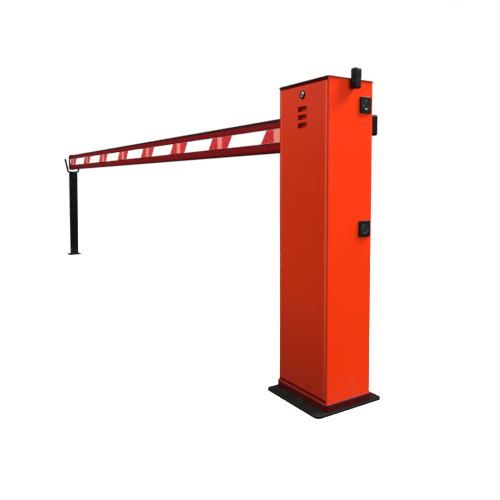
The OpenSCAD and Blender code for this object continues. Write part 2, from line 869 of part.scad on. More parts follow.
// Flat lever with round ends, from the hub to each of the given pins, and its hub.
module lever(hub, pins) {
    difference() {
        union() {
            bar_y(hub, lever_y0, hub_y1, hub_d);
            plate_y(lever_y0, lever_y1) translate(hub) for (pin = pins) {
                translate(pin) circle(d = lever_w);
                rotate(atan2(pin[1], pin[0])) translate([0, -lever_arm_w / 2])
                    square([norm(pin), lever_arm_w]);
            }
        }
        children();
    }
}

module crank() {
    color("#7d8287") {
        lever([0, drive_z], [rod_pin])
            bar_y([0, drive_z], lever_y0 - 1, hub_y1 + 1, output_d + 2 * run_gap);
        bar_y([rod_pin[0], drive_z + rod_pin[1]], pin_y0, lever_y0, pin_d);
    }
}

module rocker() {
    color("#7d8287") lever([0, pivot_z], [rod_pin, spring_pin]) {
        bar_y([0, pivot_z], lever_y0 - 1, hub_y1 + 1, shaft_d + 2 * run_gap);
        for (pin = [rod_pin, spring_pin])
            bar_y([pin[0], pivot_z + pin[1]], lever_y0 - 1, lever_y1 + 1, pin_d + 2 * run_gap);
    }
}

module rocker_pins() {
    color("silver") for (pin = [rod_pin, spring_pin]) {
        at = [pin[0], pivot_z + pin[1]];
        bar_y(at, pin_y0, pin_y1, pin_d);
        bar_y(at, pin_y0 - 3, pin_y0, pin_d + 6);
    }
}

// Two eyes joined by a round bar; it stays upright while the crank turns.
module connecting_rod() {
    top = [rod_pin[0], pivot_z + rod_pin[1]];
    low = [rod_pin[0], drive_z + rod_pin[1]];
    color("#5f656b") difference() {
        union() {
            for (at = [top, low]) bar_y(at, rod_y0, rod_y0 + lever_t, pin_d + 20);
            translate([low[0], rod_y0 + lever_t / 2, low[1] + pin_d])
                cylinder(h = drive_drop - 2 * pin_d, d = rod_shank_d);
            for (z = [low[1] + 34, top[1] - 34]) translate([low[0], rod_y0 + lever_t / 2, z])
                cylinder(h = 8, d = rod_shank_d + 7, $fn = 6, center = true);
        }
        for (at = [top, low]) bar_y(at, rod_y0 - 5, rod_y0 + lever_t + 5, pin_d + 2 * bush_t + 0.2);
    }
}

module rod_bushes() {
    color("#b08a3c") for (z = [pivot_z, drive_z]) difference() {
        bar_y([rod_pin[0], z + rod_pin[1]], rod_y0, rod_y0 + lever_t, pin_d + 2 * bush_t);
        bar_y([rod_pin[0], z + rod_pin[1]], rod_y0 - 1, rod_y0 + lever_t + 1, pin_d + 2 * run_gap);
    }
}

// Hanger between the rocker and the balance spring.
module spring_link() {
    at = [spring_pin[0], pivot_z + spring_pin[1]];
    color("#5f656b") difference() {
        union() {
            bar_y(at, rod_y0, rod_y0 + lever_t, pin_d + 18);
            translate([at[0], spring_y, at[1] - link_l]) cylinder(h = link_l, d = link_shank_d);
            translate([at[0], spring_y, at[1] - link_l]) cylinder(h = 12, d = spring_d - 6);
        }
        bar_y(at, rod_y0 - 1, rod_y0 + lever_t + 1, pin_d + 2 * run_gap);
    }
}

// Closed tube with the outer and inner diameters of the coil spring.
module balance_spring() {
    color("#2f3337") translate([spring_pin[0], spring_y, spring_low]) difference() {
        cylinder(h = spring_top - spring_low, d = spring_d);
        translate([0, 0, -1])
            cylinder(h = spring_top - spring_low + 2, d = spring_d - 2 * spring_wire);
    }
}

// Bracket on the rear wall with the threaded eye that sets the spring's pull.
module spring_anchor() {
    x = spring_pin[0];
    bracket_w = 44;
    bracket_t = 8;
    eye_d = 12;
    color("#7d8287") {
        difference() {
            union() {
                block([x - bracket_w / 2, spring_y - 16, anchor_z], [x + bracket_w / 2, wall_y,
                    anchor_z + bracket_t]);
                block([x - bracket_w / 2, wall_y - bracket_t, anchor_z - 50],
                    [x + bracket_w / 2, wall_y, anchor_z]);
            }
            translate([x, spring_y, anchor_z - 1]) cylinder(h = bracket_t + 2, d = eye_d + 2 * bolt_gap);
        }
        translate([x, spring_y, anchor_z - 40])
            cylinder(h = spring_low - seat_gap - anchor_z + 40, d = eye_d);
        translate([x, spring_y, spring_low - seat_gap - 10]) cylinder(h = 10, d = spring_d - 6);
    }
    color("silver") for (z = [anchor_z - 10 - run_gap, anchor_z + bracket_t + run_gap])
        translate([x, spring_y, z])
        difference() {
            cylinder(h = 10, d = 1.65 * eye_d / cos(30), $fn = 6);
            translate([0, 0, -1]) cylinder(h = 12, d = eye_d + 2 * run_gap);
        }
}

// Discs on the front end of the shaft, each with one flat that frees its switch.
module limit_cams() {
    color("#b9bdc1") for (i = [0, 1]) {
        y0 = cam_disc_y[i];
        difference() {
            bar_y([0, pivot_z], y0, y0 + cam_disc_t, cam_disc_d);
            bar_y([0, pivot_z], y0 - 1, y0 + cam_disc_t + 1, cam_shaft_d + 2 * run_gap);
            translate([0, 0, pivot_z]) rotate([0, i * 90, 0])
                block([cam_disc_d / 2 - 5, y0 - 1, -cam_disc_d / 2],
                    [cam_disc_d, y0 + cam_disc_t + 1, cam_disc_d / 2]);
        }
    }
}

// Bracket on the plate with one roller switch over each disc.
module limit_switches() {
    z0 = pivot_z + cam_disc_d / 2 + seat_gap;
    roller_d = 6;
    body_w = 30;
    body_h = 16;
    color("#20262b") {
        for (y0 = cam_disc_y) {
            bar_y([0, z0 + roller_d / 2], y0 + 1, y0 + cam_disc_t - 1, roller_d);
            block([-body_w / 2, y0 + 1, z0 + roller_d], [body_w / 2, y0 + cam_disc_t - 1,
                z0 + roller_d + body_h]);
        }
        block([-body_w / 2, cam_disc_y[0], z0 + roller_d + body_h],
            [body_w / 2, frame_y0 - front_flange_t - 8, z0 + roller_d + body_h + 3]);
        block([-body_w / 2, frame_y0 - front_flange_t - 11, z0 + roller_d + body_h + 3],
            [body_w / 2, frame_y0 - front_flange_t - 8, pivot_z + rear_housing_w / 2 + 12]);
        block([-body_w / 2, frame_y0 - front_flange_t - 8, pivot_z + rear_housing_w / 2 + 2],
            [body_w / 2, frame_y0, pivot_z + rear_housing_w / 2 + 12]);
    }
}

// Places its children at the stop below and the stop above the spring arm's travel.
module at_stops() {
    side = lever_arm_w / 2 + stop_d / 2 + seat_gap;
    x = stop_reach * cos(lever_angle) - side * sin(lever_angle);
    z = stop_reach * sin(lever_angle) + side * cos(lever_angle);
    for (way = [-1, 1]) translate([x, 0, pivot_z + way * z]) children();
}

module stop_pins() {
    color("silver") at_stops() bar_y([0, 0], frame_y1, lever_y1, stop_pin_d);
}

module stop_rollers() {
    color("#141414") at_stops() difference() {
        bar_y([0, 0], lever_y0, lever_y1, stop_d);
        bar_y([0, 0], lever_y0 - 1, lever_y1 + 1, stop_pin_d + 2 * run_gap);
    }
}

module main_shaft() {
    color("#c3c7cb") {
        bar_y([0, pivot_z], shaft_step, shaft_back, shaft_d);
        bar_y([0, pivot_z], shaft_front, shaft_step, cam_shaft_d);
    }
}

// ---- electrics ----

module control_box_base() {
    wall = 3;
    low = [control_x, wall_y - control_base_d, control_z];
    high = [control_x + control_w, wall_y, control_z + control_h];
    color("#b7babc") difference() {
        block(low, high);
        block([low[0] + wall, low[1] - 1, low[2] + wall], [high[0] - wall, high[1] - wall, high[2] - wall]);
    }
}

module control_box_lid() {
    wall = 3;
    y1 = wall_y - control_base_d;
    low = [control_x, y1 - control_lid_d, control_z];
    high = [control_x + control_w, y1, control_z + control_h];
    color("#cfd2d3") difference() {
        block(low, high);
        block([low[0] + wall, low[1] + wall, low[2] + wall], [high[0] - wall, high[1] + 1, high[2] - wall]);
    }
}

// Laminated core between two coil ends.
module transformer() {
    x = control_x + control_w + 22;
    core_d = 36;
    color("#4c4f52") block([x, wall_y - core_d, control_z], [x + 66, wall_y, control_z + 56]);
    color("#9a4f22") block([x + 16, wall_y - core_d - 10, control_z + 10],
        [x + 50, wall_y - core_d, control_z + 46]);
}

// ---- boom ----

// Outline of the holder's plates: a tall part beside the boom and a low tail.
module holder_outline() {
    upper = [
        [-holder_l, holder_h / 2 - holder_cut],
        [-holder_l + holder_cut, holder_h / 2],
        [-holder_taper, holder_h / 2],
        [0, tail_h / 2],
        [tail_l - tail_cut, tail_h / 2],
        [tail_l, tail_h / 2 - tail_cut]
    ];
    last = len(upper) - 1;
    polygon(concat(upper, [for (i = [last : -1 : 0]) [upper[i][0], -upper[i][1]]]));
}

module at_holder_bolts() {
    for (x = holder_bolt_x, z = [-1, 1]) translate([x, 0, pivot_z + z * holder_bolt_z]) children();
}

// Plate, tail block and hub that carry the boom on the shaft.
module arm_holder() {
    color("#131313") difference() {
        union() {
            plate_y(boom_y0 - holder_t, boom_y0) translate([0, pivot_z]) holder_outline();
            plate_y(boom_y0, boom_y1) translate([(tail_l - boom_root) / 2 + seat_gap / 2, pivot_z])
                rounded_outline(tail_l + boom_root - seat_gap, tail_h, tail_r);
            bar_y([0, pivot_z], half_d + seal_ring_t + seat_gap, boom_y0 - holder_t, shaft_d + 34);
        }
        bar_y([0, pivot_z], half_d, boom_y1 + 1, shaft_d + 2 * run_gap);
        at_holder_bolts() bar_y([0, 0], boom_y0 - holder_t - 1, boom_y0 + 1, holder_bolt_d + 2 * run_gap);
    }
}

module clamp_plate() {
    color("#131313") difference() {
        plate_y(boom_y1, boom_y1 + clamp_t) translate([0, pivot_z]) holder_outline();
        bar_y([0, pivot_z], boom_y1 - 1, boom_y1 + clamp_t + 1, shaft_d + 2 * run_gap);
        at_holder_bolts() bar_y([0, 0], boom_y1 - 1, boom_y1 + clamp_t + 1, holder_bolt_d + 2 * run_gap);
    }
}

// Four bolts through the boom and one bolt with a washer on the end of the shaft.
module holder_bolts() {
    head = 0.65 * holder_bolt_d;
    back = boom_y1 + clamp_t;
    front = boom_y0 - holder_t;
    color("silver") {
        at_holder_bolts() {
            bar_y([0, 0], front, back, holder_bolt_d);
            hex_y([0, 0], back, back + head, 1.6 * holder_bolt_d);
            bar_y([0, 0], front - 4, front, 1.6 * holder_bolt_d);
        }
        bar_y([0, pivot_z], back, back + 3, shaft_d + 14);
        hex_y([0, pivot_z], back + 3, back + 3 + head, 24);
    }
}

// Section of the profile: a full-depth web with a narrower neck above and below.
module boom_section(shrink) {
    square([boom_d - 2 * shrink, boom_web_h - 2 * shrink], center = true);
    square([neck_d - 2 * shrink, boom_web_h + 2 * boom_neck - 2 * shrink], center = true);
}

module arm_profile() {
    color("#f4f4f2") difference() {
        translate([0, boom_yc, pivot_z]) plate_x(-boom_end, -boom_root) difference() {
            boom_section(0);
            boom_section(boom_wall);
        }
        at_holder_bolts() bar_y([0, 0], boom_y0 - 1, boom_y1 + 1, holder_bolt_d + 2 * run_gap);
    }
}

// Section of one rubber rail, drawn for the upper side, with the groove for the neck.
module rail_section() {
    round_r = 15;
    low = boom_web_h / 2;
    difference() {
        union() {
            translate([-boom_d / 2, low]) square([boom_d, rail_h - round_r]);
            translate([-boom_d / 2 + round_r, low]) square([boom_d - 2 * round_r, rail_h]);
            for (y = [-1, 1]) translate([y * (boom_d / 2 - round_r), low + rail_h - round_r])
                circle(round_r);
        }
        translate([-neck_d / 2 - seat_gap, low - 1])
            square([neck_d + 2 * seat_gap, boom_neck + 1 + seat_gap]);
        translate([0, low + rail_h - round_r]) circle(rail_h / 5);
    }
}

module upper_rail() {
    color("#8c1a20") translate([0, boom_yc, pivot_z]) plate_x(-boom_end, -boom_root) rail_section();
}

module lower_rail() {
    color("#8c1a20") translate([0, boom_yc, pivot_z])
        plate_x(-boom_end, -boom_root) mirror([0, 1]) rail_section();
}

// Slanted stickers, the same on the front and on the back of the boom.
module reflective_bands() {
    half_h = boom_web_h / 2 - band_inset;
    lean = band_lean / 2;
    color("#c8262c") for (i = [0 : band_count - 1], y0 = [boom_y0 - band_t, boom_y1])
        plate_y(y0, y0 + band_t) translate([-band_start - lean - i * band_pitch, pivot_z])
            polygon([[-band_l - lean, -half_h], [-lean, -half_h], [lean, half_h], [-band_l + lean, half_h]]);
}

// Cup over the end of the boom, with its rails.
module end_cap() {
    outer_d = boom_d + 2 * cap_wall;
    outer_h = boom_h + 2 * cap_wall;
    color("#101010") translate([-boom_l, boom_yc, pivot_z]) difference() {
        plate_x(0, cap_l) rounded_outline(outer_d, outer_h, 18);
        plate_x(cap_end_t, cap_l + 1) rounded_outline(boom_d + 2 * seat_gap, boom_h + 2 * seat_gap, 15);
        cap_bevel();
        mirror([0, 0, 1]) cap_bevel();
    }
}

// Removes the outer corner of the cup's end, leaving it round.
module cap_bevel() {
    outer_h = boom_h + 2 * cap_wall;
    translate([0, 0, outer_h / 2 - cap_round]) difference() {
        block([-1, -boom_d, 0], [cap_round, boom_d, cap_round + 1]);
        bar_y([cap_round, 0], -boom_d - 1, boom_d + 1, 2 * cap_round);
    }
}

// ---- post ----

module post_tube() {
    color("#101010") translate([-post_reach, boom_yc, foot_t]) {
        difference() {
            rounded_box(post_w, post_w, post_top - foot_t, 6);
            translate([0, 0, -1]) rounded_box(post_w - 2 * post_wall, post_w - 2 * post_wall,
                post_top - foot_t - post_wall + 1, 6 - post_wall);
        }
    }
}

module post_foot() {
    color("#131313") translate([-post_reach, boom_yc, 0]) difference() {
        rounded_box(foot_w, foot_w, foot_t, 8);
        at_corners(foot_span, foot_span) translate([0, 0, -1]) cylinder(h = foot_t + 2, d = foot_hole_d);
    }
}

// Points along an arc of radius r about c, from angle a to angle b, in Y and Z.
function arc(c, r, a, b, steps) = [
    for (i = [0 : steps]) let (t = a + (b - a) * i / steps) c + r * [sin(t), -cos(t)]
];

// Centre line of the fork's +Y half: shallow foot, bend and flared prong.
function fork_half() = let (
    bend_c = [foot_r * sin(foot_turn), foot_r * (1 - cos(foot_turn))]
        + bend_r * [-sin(foot_turn), cos(foot_turn)],
    prong = bend_c + bend_r * [cos(flare), -sin(flare)],
    run = (fork_tip_w / 2 - prong[0]) / sin(flare) * [sin(flare), cos(flare)]
) concat(
    arc([0, foot_r], foot_r, 0, foot_turn, 4),
    arc(bend_c, bend_r, foot_turn + 12, 90 - flare, 5),
    [prong + run]
);

// Whole centre line, from the -Y tip to the +Y tip.
function fork_line() = let (half = fork_half(), n = len(half)) concat(
    [for (i = [n - 1 : -1 : 1]) [-half[i][0], half[i][1]]],
    half
);

// Round bar swept along a line of [y, z] points, as one closed skin.
module swept_bar(line, d, sides) {
    n = len(line);
    rings = [for (i = [0 : n - 1])
        let (
            before = line[max(i - 1, 0)],
            after = line[min(i + 1, n - 1)],
            run = (after - before) / norm(after - before)
        )
        for (k = [0 : sides - 1]) let (t = 360 * k / sides)
            [d / 2 * cos(t), line[i][0] - d / 2 * sin(t) * run[1], line[i][1] + d / 2 * sin(t) * run[0]]
    ];
    skin = [for (i = [0 : n - 2], k = [0 : sides - 1])
        let (next = (k + 1) % sides)
        [i * sides + k, i * sides + next, (i + 1) * sides + next, (i + 1) * sides + k]
    ];
    ends = [
        [for (k = [sides - 1 : -1 : 0]) k],
        [for (k = [0 : sides - 1]) (n - 1) * sides + k]
    ];
    polyhedron(rings, concat(skin, ends));
}

// Bent bar with round tips, let flat onto the post.
module fork() {
    line = fork_line();
    color("#101010") translate([-post_reach, boom_yc, fork_low_z]) difference() {
        union() {
            swept_bar(line, fork_d, 24);
            for (tip = [line[0], line[len(line) - 1]])
                translate([0, tip[0], tip[1]]) sphere(d = fork_d - 0.2, $fn = 24);
        }
        block([-post_w, -post_w, -fork_d], [post_w, post_w, post_top - fork_low_z]);
    }
}

// ---- assembly ----

foundation_plate();
plate_studs();
stud_nuts();
plinth();
cabinet_shell();
lid();
lid_screws();
door_seal();
door_pivots();
at_cell(cell_high_z) photocell_housing();  // upper_photocell_housing
at_cell(cell_low_z) photocell_housing();  // lower_photocell_housing
photocell_rings();
photocell_lenses();
antenna_base();
antenna_cap();
drive_plate();
frame_spacers();
frame_bolts();
rear_bearing_housing();
front_bearing_housing();
bearing_bolts();
shaft_bearings();
shaft_seal();
gearbox_housing();
gearbox_cover();
motor();
limit_switches();
stop_pins();
stop_rollers();
spring_anchor();
balance_spring();
control_box_base();
control_box_lid();
transformer();
post_tube();
post_foot();
fork();
main_shaft();
rocker();
rocker_pins();
limit_cams();
arm_holder();
clamp_plate();
holder_bolts();
arm_profile();
upper_rail();
lower_rail();
reflective_bands();
end_cap();
output_shaft();
crank();
connecting_rod();
rod_bushes();
spring_link();
door_panel();
lock_housing();
lock_nut();
lock_barrel();
lock_cam();
release_lever();
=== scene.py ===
"""Looks of the parking barrier gate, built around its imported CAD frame. Metres, +Z up."""
import json
import math

import bmesh
import bpy
from mathutils import Matrix, Vector


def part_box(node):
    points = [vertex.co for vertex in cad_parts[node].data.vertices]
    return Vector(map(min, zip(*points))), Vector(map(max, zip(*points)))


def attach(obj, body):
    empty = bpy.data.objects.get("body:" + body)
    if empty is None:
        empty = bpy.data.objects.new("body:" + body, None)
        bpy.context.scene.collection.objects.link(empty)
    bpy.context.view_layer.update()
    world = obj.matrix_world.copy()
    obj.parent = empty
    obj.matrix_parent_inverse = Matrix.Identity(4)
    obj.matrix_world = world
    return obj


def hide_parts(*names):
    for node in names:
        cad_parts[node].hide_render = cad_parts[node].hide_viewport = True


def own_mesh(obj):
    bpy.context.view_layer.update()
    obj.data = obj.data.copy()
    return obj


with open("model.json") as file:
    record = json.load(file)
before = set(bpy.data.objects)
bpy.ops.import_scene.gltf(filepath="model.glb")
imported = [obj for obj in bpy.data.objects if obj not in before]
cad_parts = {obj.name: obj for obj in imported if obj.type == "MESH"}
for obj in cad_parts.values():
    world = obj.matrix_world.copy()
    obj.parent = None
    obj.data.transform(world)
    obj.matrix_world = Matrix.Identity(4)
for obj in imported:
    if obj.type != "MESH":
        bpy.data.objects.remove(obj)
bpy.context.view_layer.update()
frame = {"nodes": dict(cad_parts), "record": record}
nodes = frame["nodes"]
scene = bpy.context.scene

MM = 0.001
X = Vector((1, 0, 0))
Y = Vector((0, 1, 0))
Z = Vector((0, 0, 1))
QUARTER_TURN = [math.radians(15 * step) for step in range(7)]


# ---- colours ----

def srgb(red, green, blue):
    """Linear colour with alpha from 0-255 display values."""
    def linear(value):
        value /= 255
        return value / 12.92 if value <= 0.04045 else ((value + 0.055) / 1.055) ** 2.4
    return (linear(red), linear(green), linear(blue), 1.0)


def shade(colour, factor):
    """Lighter (above 1) or darker (below 1) version of a linear colour."""
    return tuple(min(1.0, c * factor) for c in colour[:3]) + (1.0,)


# ---- materials ----

# Colour sockets of a Mix node, by number.
MIX_UNDER, MIX_OVER, MIX_RESULT = 6, 7, 2


class Finish:
    """Builds one material: a principled shader fed by small node chains."""

    def __init__(self, name, colour, roughness, metallic=0.0, shine=0.25):
        self.material = bpy.data.materials.new(name)
        self.material.use_nodes = True
        self.tree = self.material.node_tree
        self.shader = self.tree.nodes["Principled BSDF"]
        self.shader.inputs["Metallic"].default_value = metallic
        self.shader.inputs["Specular IOR Level"].default_value = shine
        self.where = self.node("ShaderNodeTexCoord").outputs["Object"]
        self.colour = self.rgb(colour)
        self.roughness = None
        self.base_roughness = roughness
        self.height = None

    def node(self, kind, **settings):
        """A new shader node with its settings."""
        made = self.tree.nodes.new(kind)
        for key, value in settings.items():
            setattr(made, key, value)
        return made

    def link(self, source, target):
        self.tree.links.new(source, target)

    def rgb(self, colour):
        """A plain colour as a socket."""
        made = self.node("ShaderNodeRGB")
        made.outputs[0].default_value = colour
        return made.outputs[0]

    def stretched(self, scale):
        """Object coordinates scaled by a vector, for grain along one axis."""
        mapping = self.node("ShaderNodeMapping")
        mapping.inputs["Scale"].default_value = scale
        self.link(self.where, mapping.inputs["Vector"])
        return mapping.outputs["Vector"]

    def noise(self, size, detail=3.0, stretch=None):
        """Noise whose features are about size metres across."""
        made = self.node("ShaderNodeTexNoise")
        made.inputs["Scale"].default_value = 1 / size
        made.inputs["Detail"].default_value = detail
        self.link(self.stretched(stretch) if stretch else self.where, made.inputs["Vector"])
        return made.outputs["Fac"]

    def cells(self, size, feature="F1", stretch=None):
        """Distance field of cells about size metres across."""
        made = self.node("ShaderNodeTexVoronoi", feature=feature)
        made.inputs["Scale"].default_value = 1 / size
        self.link(self.stretched(stretch) if stretch else self.where, made.inputs["Vector"])
        return made.outputs["Distance"]

    def waves(self, direction, scale):
        """Parallel bands across one axis."""
        made = self.node("ShaderNodeTexWave", wave_type="BANDS", bands_direction=direction)
        made.inputs["Scale"].default_value = scale
        self.link(self.where, made.inputs["Vector"])
        return made.outputs["Fac"]

    def ramp(self, value, low, high, to_low=0.0, to_high=1.0):
        """Maps low..high to to_low..to_high and holds the ends. low may be above high."""
        made = self.node("ShaderNodeMapRange")
        made.inputs["From Min"].default_value = low
        made.inputs["From Max"].default_value = high
        made.inputs["To Min"].default_value = to_low
        made.inputs["To Max"].default_value = to_high
        self.link(value, made.inputs["Value"])
        return made.outputs["Result"]

    def maths(self, operation, first, second=0.0):
        """One sum on two values, each a number or a socket."""
        made = self.node("ShaderNodeMath", operation=operation)
        for socket, value in zip(made.inputs, (first, second)):
            if isinstance(value, (int, float)):
                socket.default_value = value
            else:
                self.link(value, socket)
        return made.outputs[0]

    def product(self, *masks):
        """All masks or numbers multiplied together."""
        total = masks[0]
        for mask in masks[1:]:
            total = self.maths("MULTIPLY", total, mask)
        return total

    def distance(self, value):
        """How far a value is from zero."""
        return self.maths("ABSOLUTE", value)

    def axis(self, letter):
        """One object coordinate, in metres."""
        made = self.node("ShaderNodeSeparateXYZ")
        self.link(self.where, made.inputs[0])
        return made.outputs[letter]

    def paint(self, colour, mask):
        """Mixes colour over what is there, by mask."""
        made = self.node("ShaderNodeMix", data_type="RGBA")
        self.link(mask, made.inputs["Factor"])
        self.link(self.colour, made.inputs[MIX_UNDER])
        made.inputs[MIX_OVER].default_value = colour
        self.colour = made.outputs[MIX_RESULT]

    def vary(self, colour, size, amount, stretch=None):
        """Broad drift of the colour towards another."""
        drift = self.noise(size, 4.0, stretch)
        self.paint(colour, self.ramp(drift, low=0.35, high=0.7, to_high=amount))

    def rough(self, value, low, high):
        """Roughness follows value, between low and high."""
        self.roughness = self.ramp(value, low=0.3, high=0.7, to_low=low, to_high=high)

    def bump(self, height, strength, depth):
        """Lays a height field on the surface; depth is in metres."""
        made = self.node("ShaderNodeBump")
        made.inputs["Strength"].default_value = strength
        made.inputs["Distance"].default_value = depth
        self.link(height, made.inputs["Height"])
        if self.height is not None:
            self.link(self.height, made.inputs["Normal"])
        self.height = made.outputs["Normal"]

    def edges(self, radius):
        """Mask that is 1 on sharp edges, broken up by noise."""
        bevel = self.node("ShaderNodeBevel", samples=4)
        bevel.inputs["Radius"].default_value = radius
        dot = self.node("ShaderNodeVectorMath", operation="DOT_PRODUCT")
        self.link(bevel.outputs[0], dot.inputs[0])
        self.link(self.node("ShaderNodeNewGeometry").outputs["Normal"], dot.inputs[1])
        sharp = self.ramp(dot.outputs["Value"], low=0.99, high=0.86)
        broken = self.ramp(self.noise(12 * MM), low=0.42, high=0.62)
        return self.product(sharp, broken)

    def wear(self, colour, radius=1.2 * MM, amount=0.6):
        """Rubbed edges in another colour."""
        self.paint(colour, self.product(self.edges(radius), amount))

    def dust(self, colour, top, amount):
        """Road dust that thins out upwards from the ground to top, in metres."""
        near_ground = self.ramp(self.axis("Z"), low=top, high=0.0, to_high=amount)
        patches = self.ramp(self.noise(30 * MM, detail=5.0), low=0.3, high=0.75)
        self.paint(colour, self.product(near_ground, patches))

    def coat(self, weight, roughness):
        """Clear layer on top."""
        self.shader.inputs["Coat Weight"].default_value = weight
        self.shader.inputs["Coat Roughness"].default_value = roughness

    def done(self):
        """Wires what was built into the shader and returns the material."""
        self.link(self.colour, self.shader.inputs["Base Color"])
        if self.roughness is None:
            self.shader.inputs["Roughness"].default_value = self.base_roughness
        else:
            self.link(self.roughness, self.shader.inputs["Roughness"])
        if self.height is not None:
            self.link(self.height, self.shader.inputs["Normal"])
        return self.material


DUST = srgb(150, 138, 122)
ORANGE = srgb(252, 57, 7)
TRIM = srgb(72, 8, 9)
BLACK = srgb(7, 7, 7)
DOOR_LOW, DOOR_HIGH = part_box("door_panel")
PLINTH_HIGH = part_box("plinth")[1]
WINDING_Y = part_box("transformer")[0].y + 10 * MM
BOOM_Z = sum(corner.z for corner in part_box("arm_profile")) / 2


def painted_steel(name, colour, dark, roughness=0.36, dusty=0.12, details=None):
    """Powder coat with a fine orange peel, faint patches, worn edges and dust near the ground."""
    made = Finish(name, colour, roughness, shine=0.09)
    made.vary(dark, size=350 * MM, amount=0.22)
    made.vary(shade(colour, 1.12), size=50 * MM, amount=0.12)
    made.wear(shade(colour, 1.35), amount=0.45)
    made.dust(DUST, top=160 * MM, amount=dusty)
    if details:
        details(made)
    made.rough(made.noise(60 * MM, 5.0), roughness - 0.05, roughness + 0.08)
    made.bump(made.noise(2.2 * MM, 2.0), strength=0.10, depth=0.3 * MM)
    made.coat(weight=0.02, roughness=0.2)
    return made.done()


def header_rail_shade(made):
    """Painted shade under the lid's overhang: the front of the fixed rail over the door gets the dark
    trim colour.
    """
    above = made.ramp(made.axis("Z"), DOOR_HIGH.z - 0.5 * MM, DOOR_HIGH.z + 0.5 * MM)
    front = made.ramp(made.axis("Y"), DOOR_LOW.y + 4 * MM, DOOR_LOW.y + 3 * MM)
    inboard = made.ramp(made.distance(made.axis("X")), DOOR_HIGH.x + 2 * MM, DOOR_HIGH.x)
    # Painted shade: the trim colour laid on the header rail's front, under the lid.
    made.paint(TRIM, made.product(above, front, inboard))


def door_painted_light_and_shade(made):
    """Painted highlight on the upright bends; painted shade on the folds, in the pressings and towards
    the foot.
    """
    across = made.distance(made.axis("X"))
    inwards = made.axis("Y")
    upwards = made.axis("Z")
    bend = made.ramp(across, DOOR_HIGH.x - 10 * MM, DOOR_HIGH.x - 6 * MM, to_high=0.7)
    fold = made.ramp(across, DOOR_HIGH.x - 2 * MM, DOOR_HIGH.x - 0.5 * MM, to_high=0.8)
    pressed = made.ramp(inwards, DOOR_LOW.y + 2 * MM, DOOR_LOW.y + 7 * MM, to_high=0.35)
    foot = made.ramp(upwards, 350 * MM, 50 * MM, to_high=0.5)
    # Painted highlight on the bends, then painted shade on the folds, the louvre pockets and the lower
    # door.
    made.paint(srgb(255, 104, 74), bend)
    made.paint(srgb(120, 10, 4), fold)
    made.paint(srgb(128, 18, 4), pressed)
    made.paint(srgb(140, 22, 4), foot)


def plinth_rim_highlight(made):
    """Painted highlight along the plinth's rounded upper rim, laid over the trim paint."""
    rim = made.ramp(made.axis("Z"), PLINTH_HIGH.z - 4 * MM, PLINTH_HIGH.z - 2 * MM, to_high=0.7)
    below_lid = made.ramp(made.axis("Z"), 200 * MM, 100 * MM)
    # Painted highlight on the rim, kept off the lid.
    made.paint(srgb(150, 34, 24), made.product(rim, below_lid))


def rail_stripes(made):
    """Black upper edge and a dark line where the rubber grips the web."""
    above = made.maths("SUBTRACT", made.axis("Z"), BOOM_Z)
    made.paint(srgb(26, 8, 10), made.ramp(above, 54 * MM, 60 * MM, to_high=0.92))
    made.paint(srgb(48, 5, 9), made.ramp(made.distance(above), 36 * MM, 31 * MM, to_high=0.8))


def black_coat(name, colour, grain=1.4 * MM, strength=0.22, roughness=0.55, dusty=0.1):
    """Textured black powder coat: fine pimples, grey wear on edges, dust at the foot."""
    made = Finish(name, colour, roughness, shine=0.07)
    made.vary(shade(colour, 1.9), size=90 * MM, amount=0.4)
    made.wear(srgb(48, 48, 50), amount=0.35)
    made.dust(DUST, top=100 * MM, amount=dusty)
    made.rough(made.noise(40 * MM, 4.0), roughness - 0.08, roughness + 0.12)
    made.bump(made.cells(grain), strength, depth=0.4 * MM)
    made.bump(made.noise(20 * MM), strength=0.05, depth=0.4 * MM)
    return made.done()


def moulded(name, colour, roughness=0.42, lift=1.5):
    """Moulded plastic: spark-eroded grain, slight bloom and lighter edges."""
    made = Finish(name, colour, roughness, shine=0.15)
    made.vary(shade(colour, lift), size=30 * MM, amount=0.45)
    made.wear(shade(colour, 2.2), radius=0.8 * MM, amount=0.5)
    made.rough(made.noise(15 * MM, 5.0), roughness - 0.08, roughness + 0.12)
    made.bump(made.noise(0.9 * MM), strength=0.16, depth=0.2 * MM)
    return made.done()


def metal(name, colour, roughness, stretch=(1, 1, 1), grain=1.2 * MM, strength=0.12, tarnish=None):
    """Bare or plated metal with grain along one axis and tarnished patches."""
    made = Finish(name, colour, roughness, metallic=1.0)
    made.vary(tarnish or shade(colour, 0.6), size=20 * MM, amount=0.45)
    made.wear(shade(colour, 1.3), radius=0.6 * MM, amount=0.5)
    made.rough(made.noise(6 * MM, 5.0, stretch), roughness - 0.1, roughness + 0.14)
    made.bump(made.noise(grain, 3.0, stretch), strength, depth=0.2 * MM)
    return made.done()


def cast_metal(name, colour, roughness=0.6, metallic=0.8):
    """Sand-cast skin: coarse pebbled surface with darker hollows."""
    made = Finish(name, colour, roughness, metallic)
    made.vary(shade(colour, 0.55), size=12 * MM, amount=0.5)
    made.wear(shade(colour, 1.5), radius=MM)
    made.rough(made.noise(10 * MM, 5.0), roughness - 0.1, roughness + 0.15)
    made.bump(made.noise(2.5 * MM, 5.0), strength=0.35, depth=0.6 * MM)
    return made.done()


def rubber(name, colour, lift, roughness=0.6, stretch=(1, 1, 1), details=None):
    """Extruded rubber: dull, with a greyish bloom and fine lines along the die."""
    made = Finish(name, colour, roughness, shine=0.06)
    made.vary(shade(colour, lift), size=80 * MM, amount=0.5, stretch=stretch)
    made.vary(srgb(128, 96, 96), size=20 * MM, amount=0.03)
    if details:
        details(made)
    made.rough(made.noise(30 * MM, 4.0, stretch), roughness - 0.12, roughness + 0.15)
    made.bump(made.noise(1.6 * MM, 3.0, stretch), strength=0.18, depth=0.3 * MM)
    made.bump(made.noise(10 * MM), strength=0.08, depth=0.6 * MM)
    return made.done()


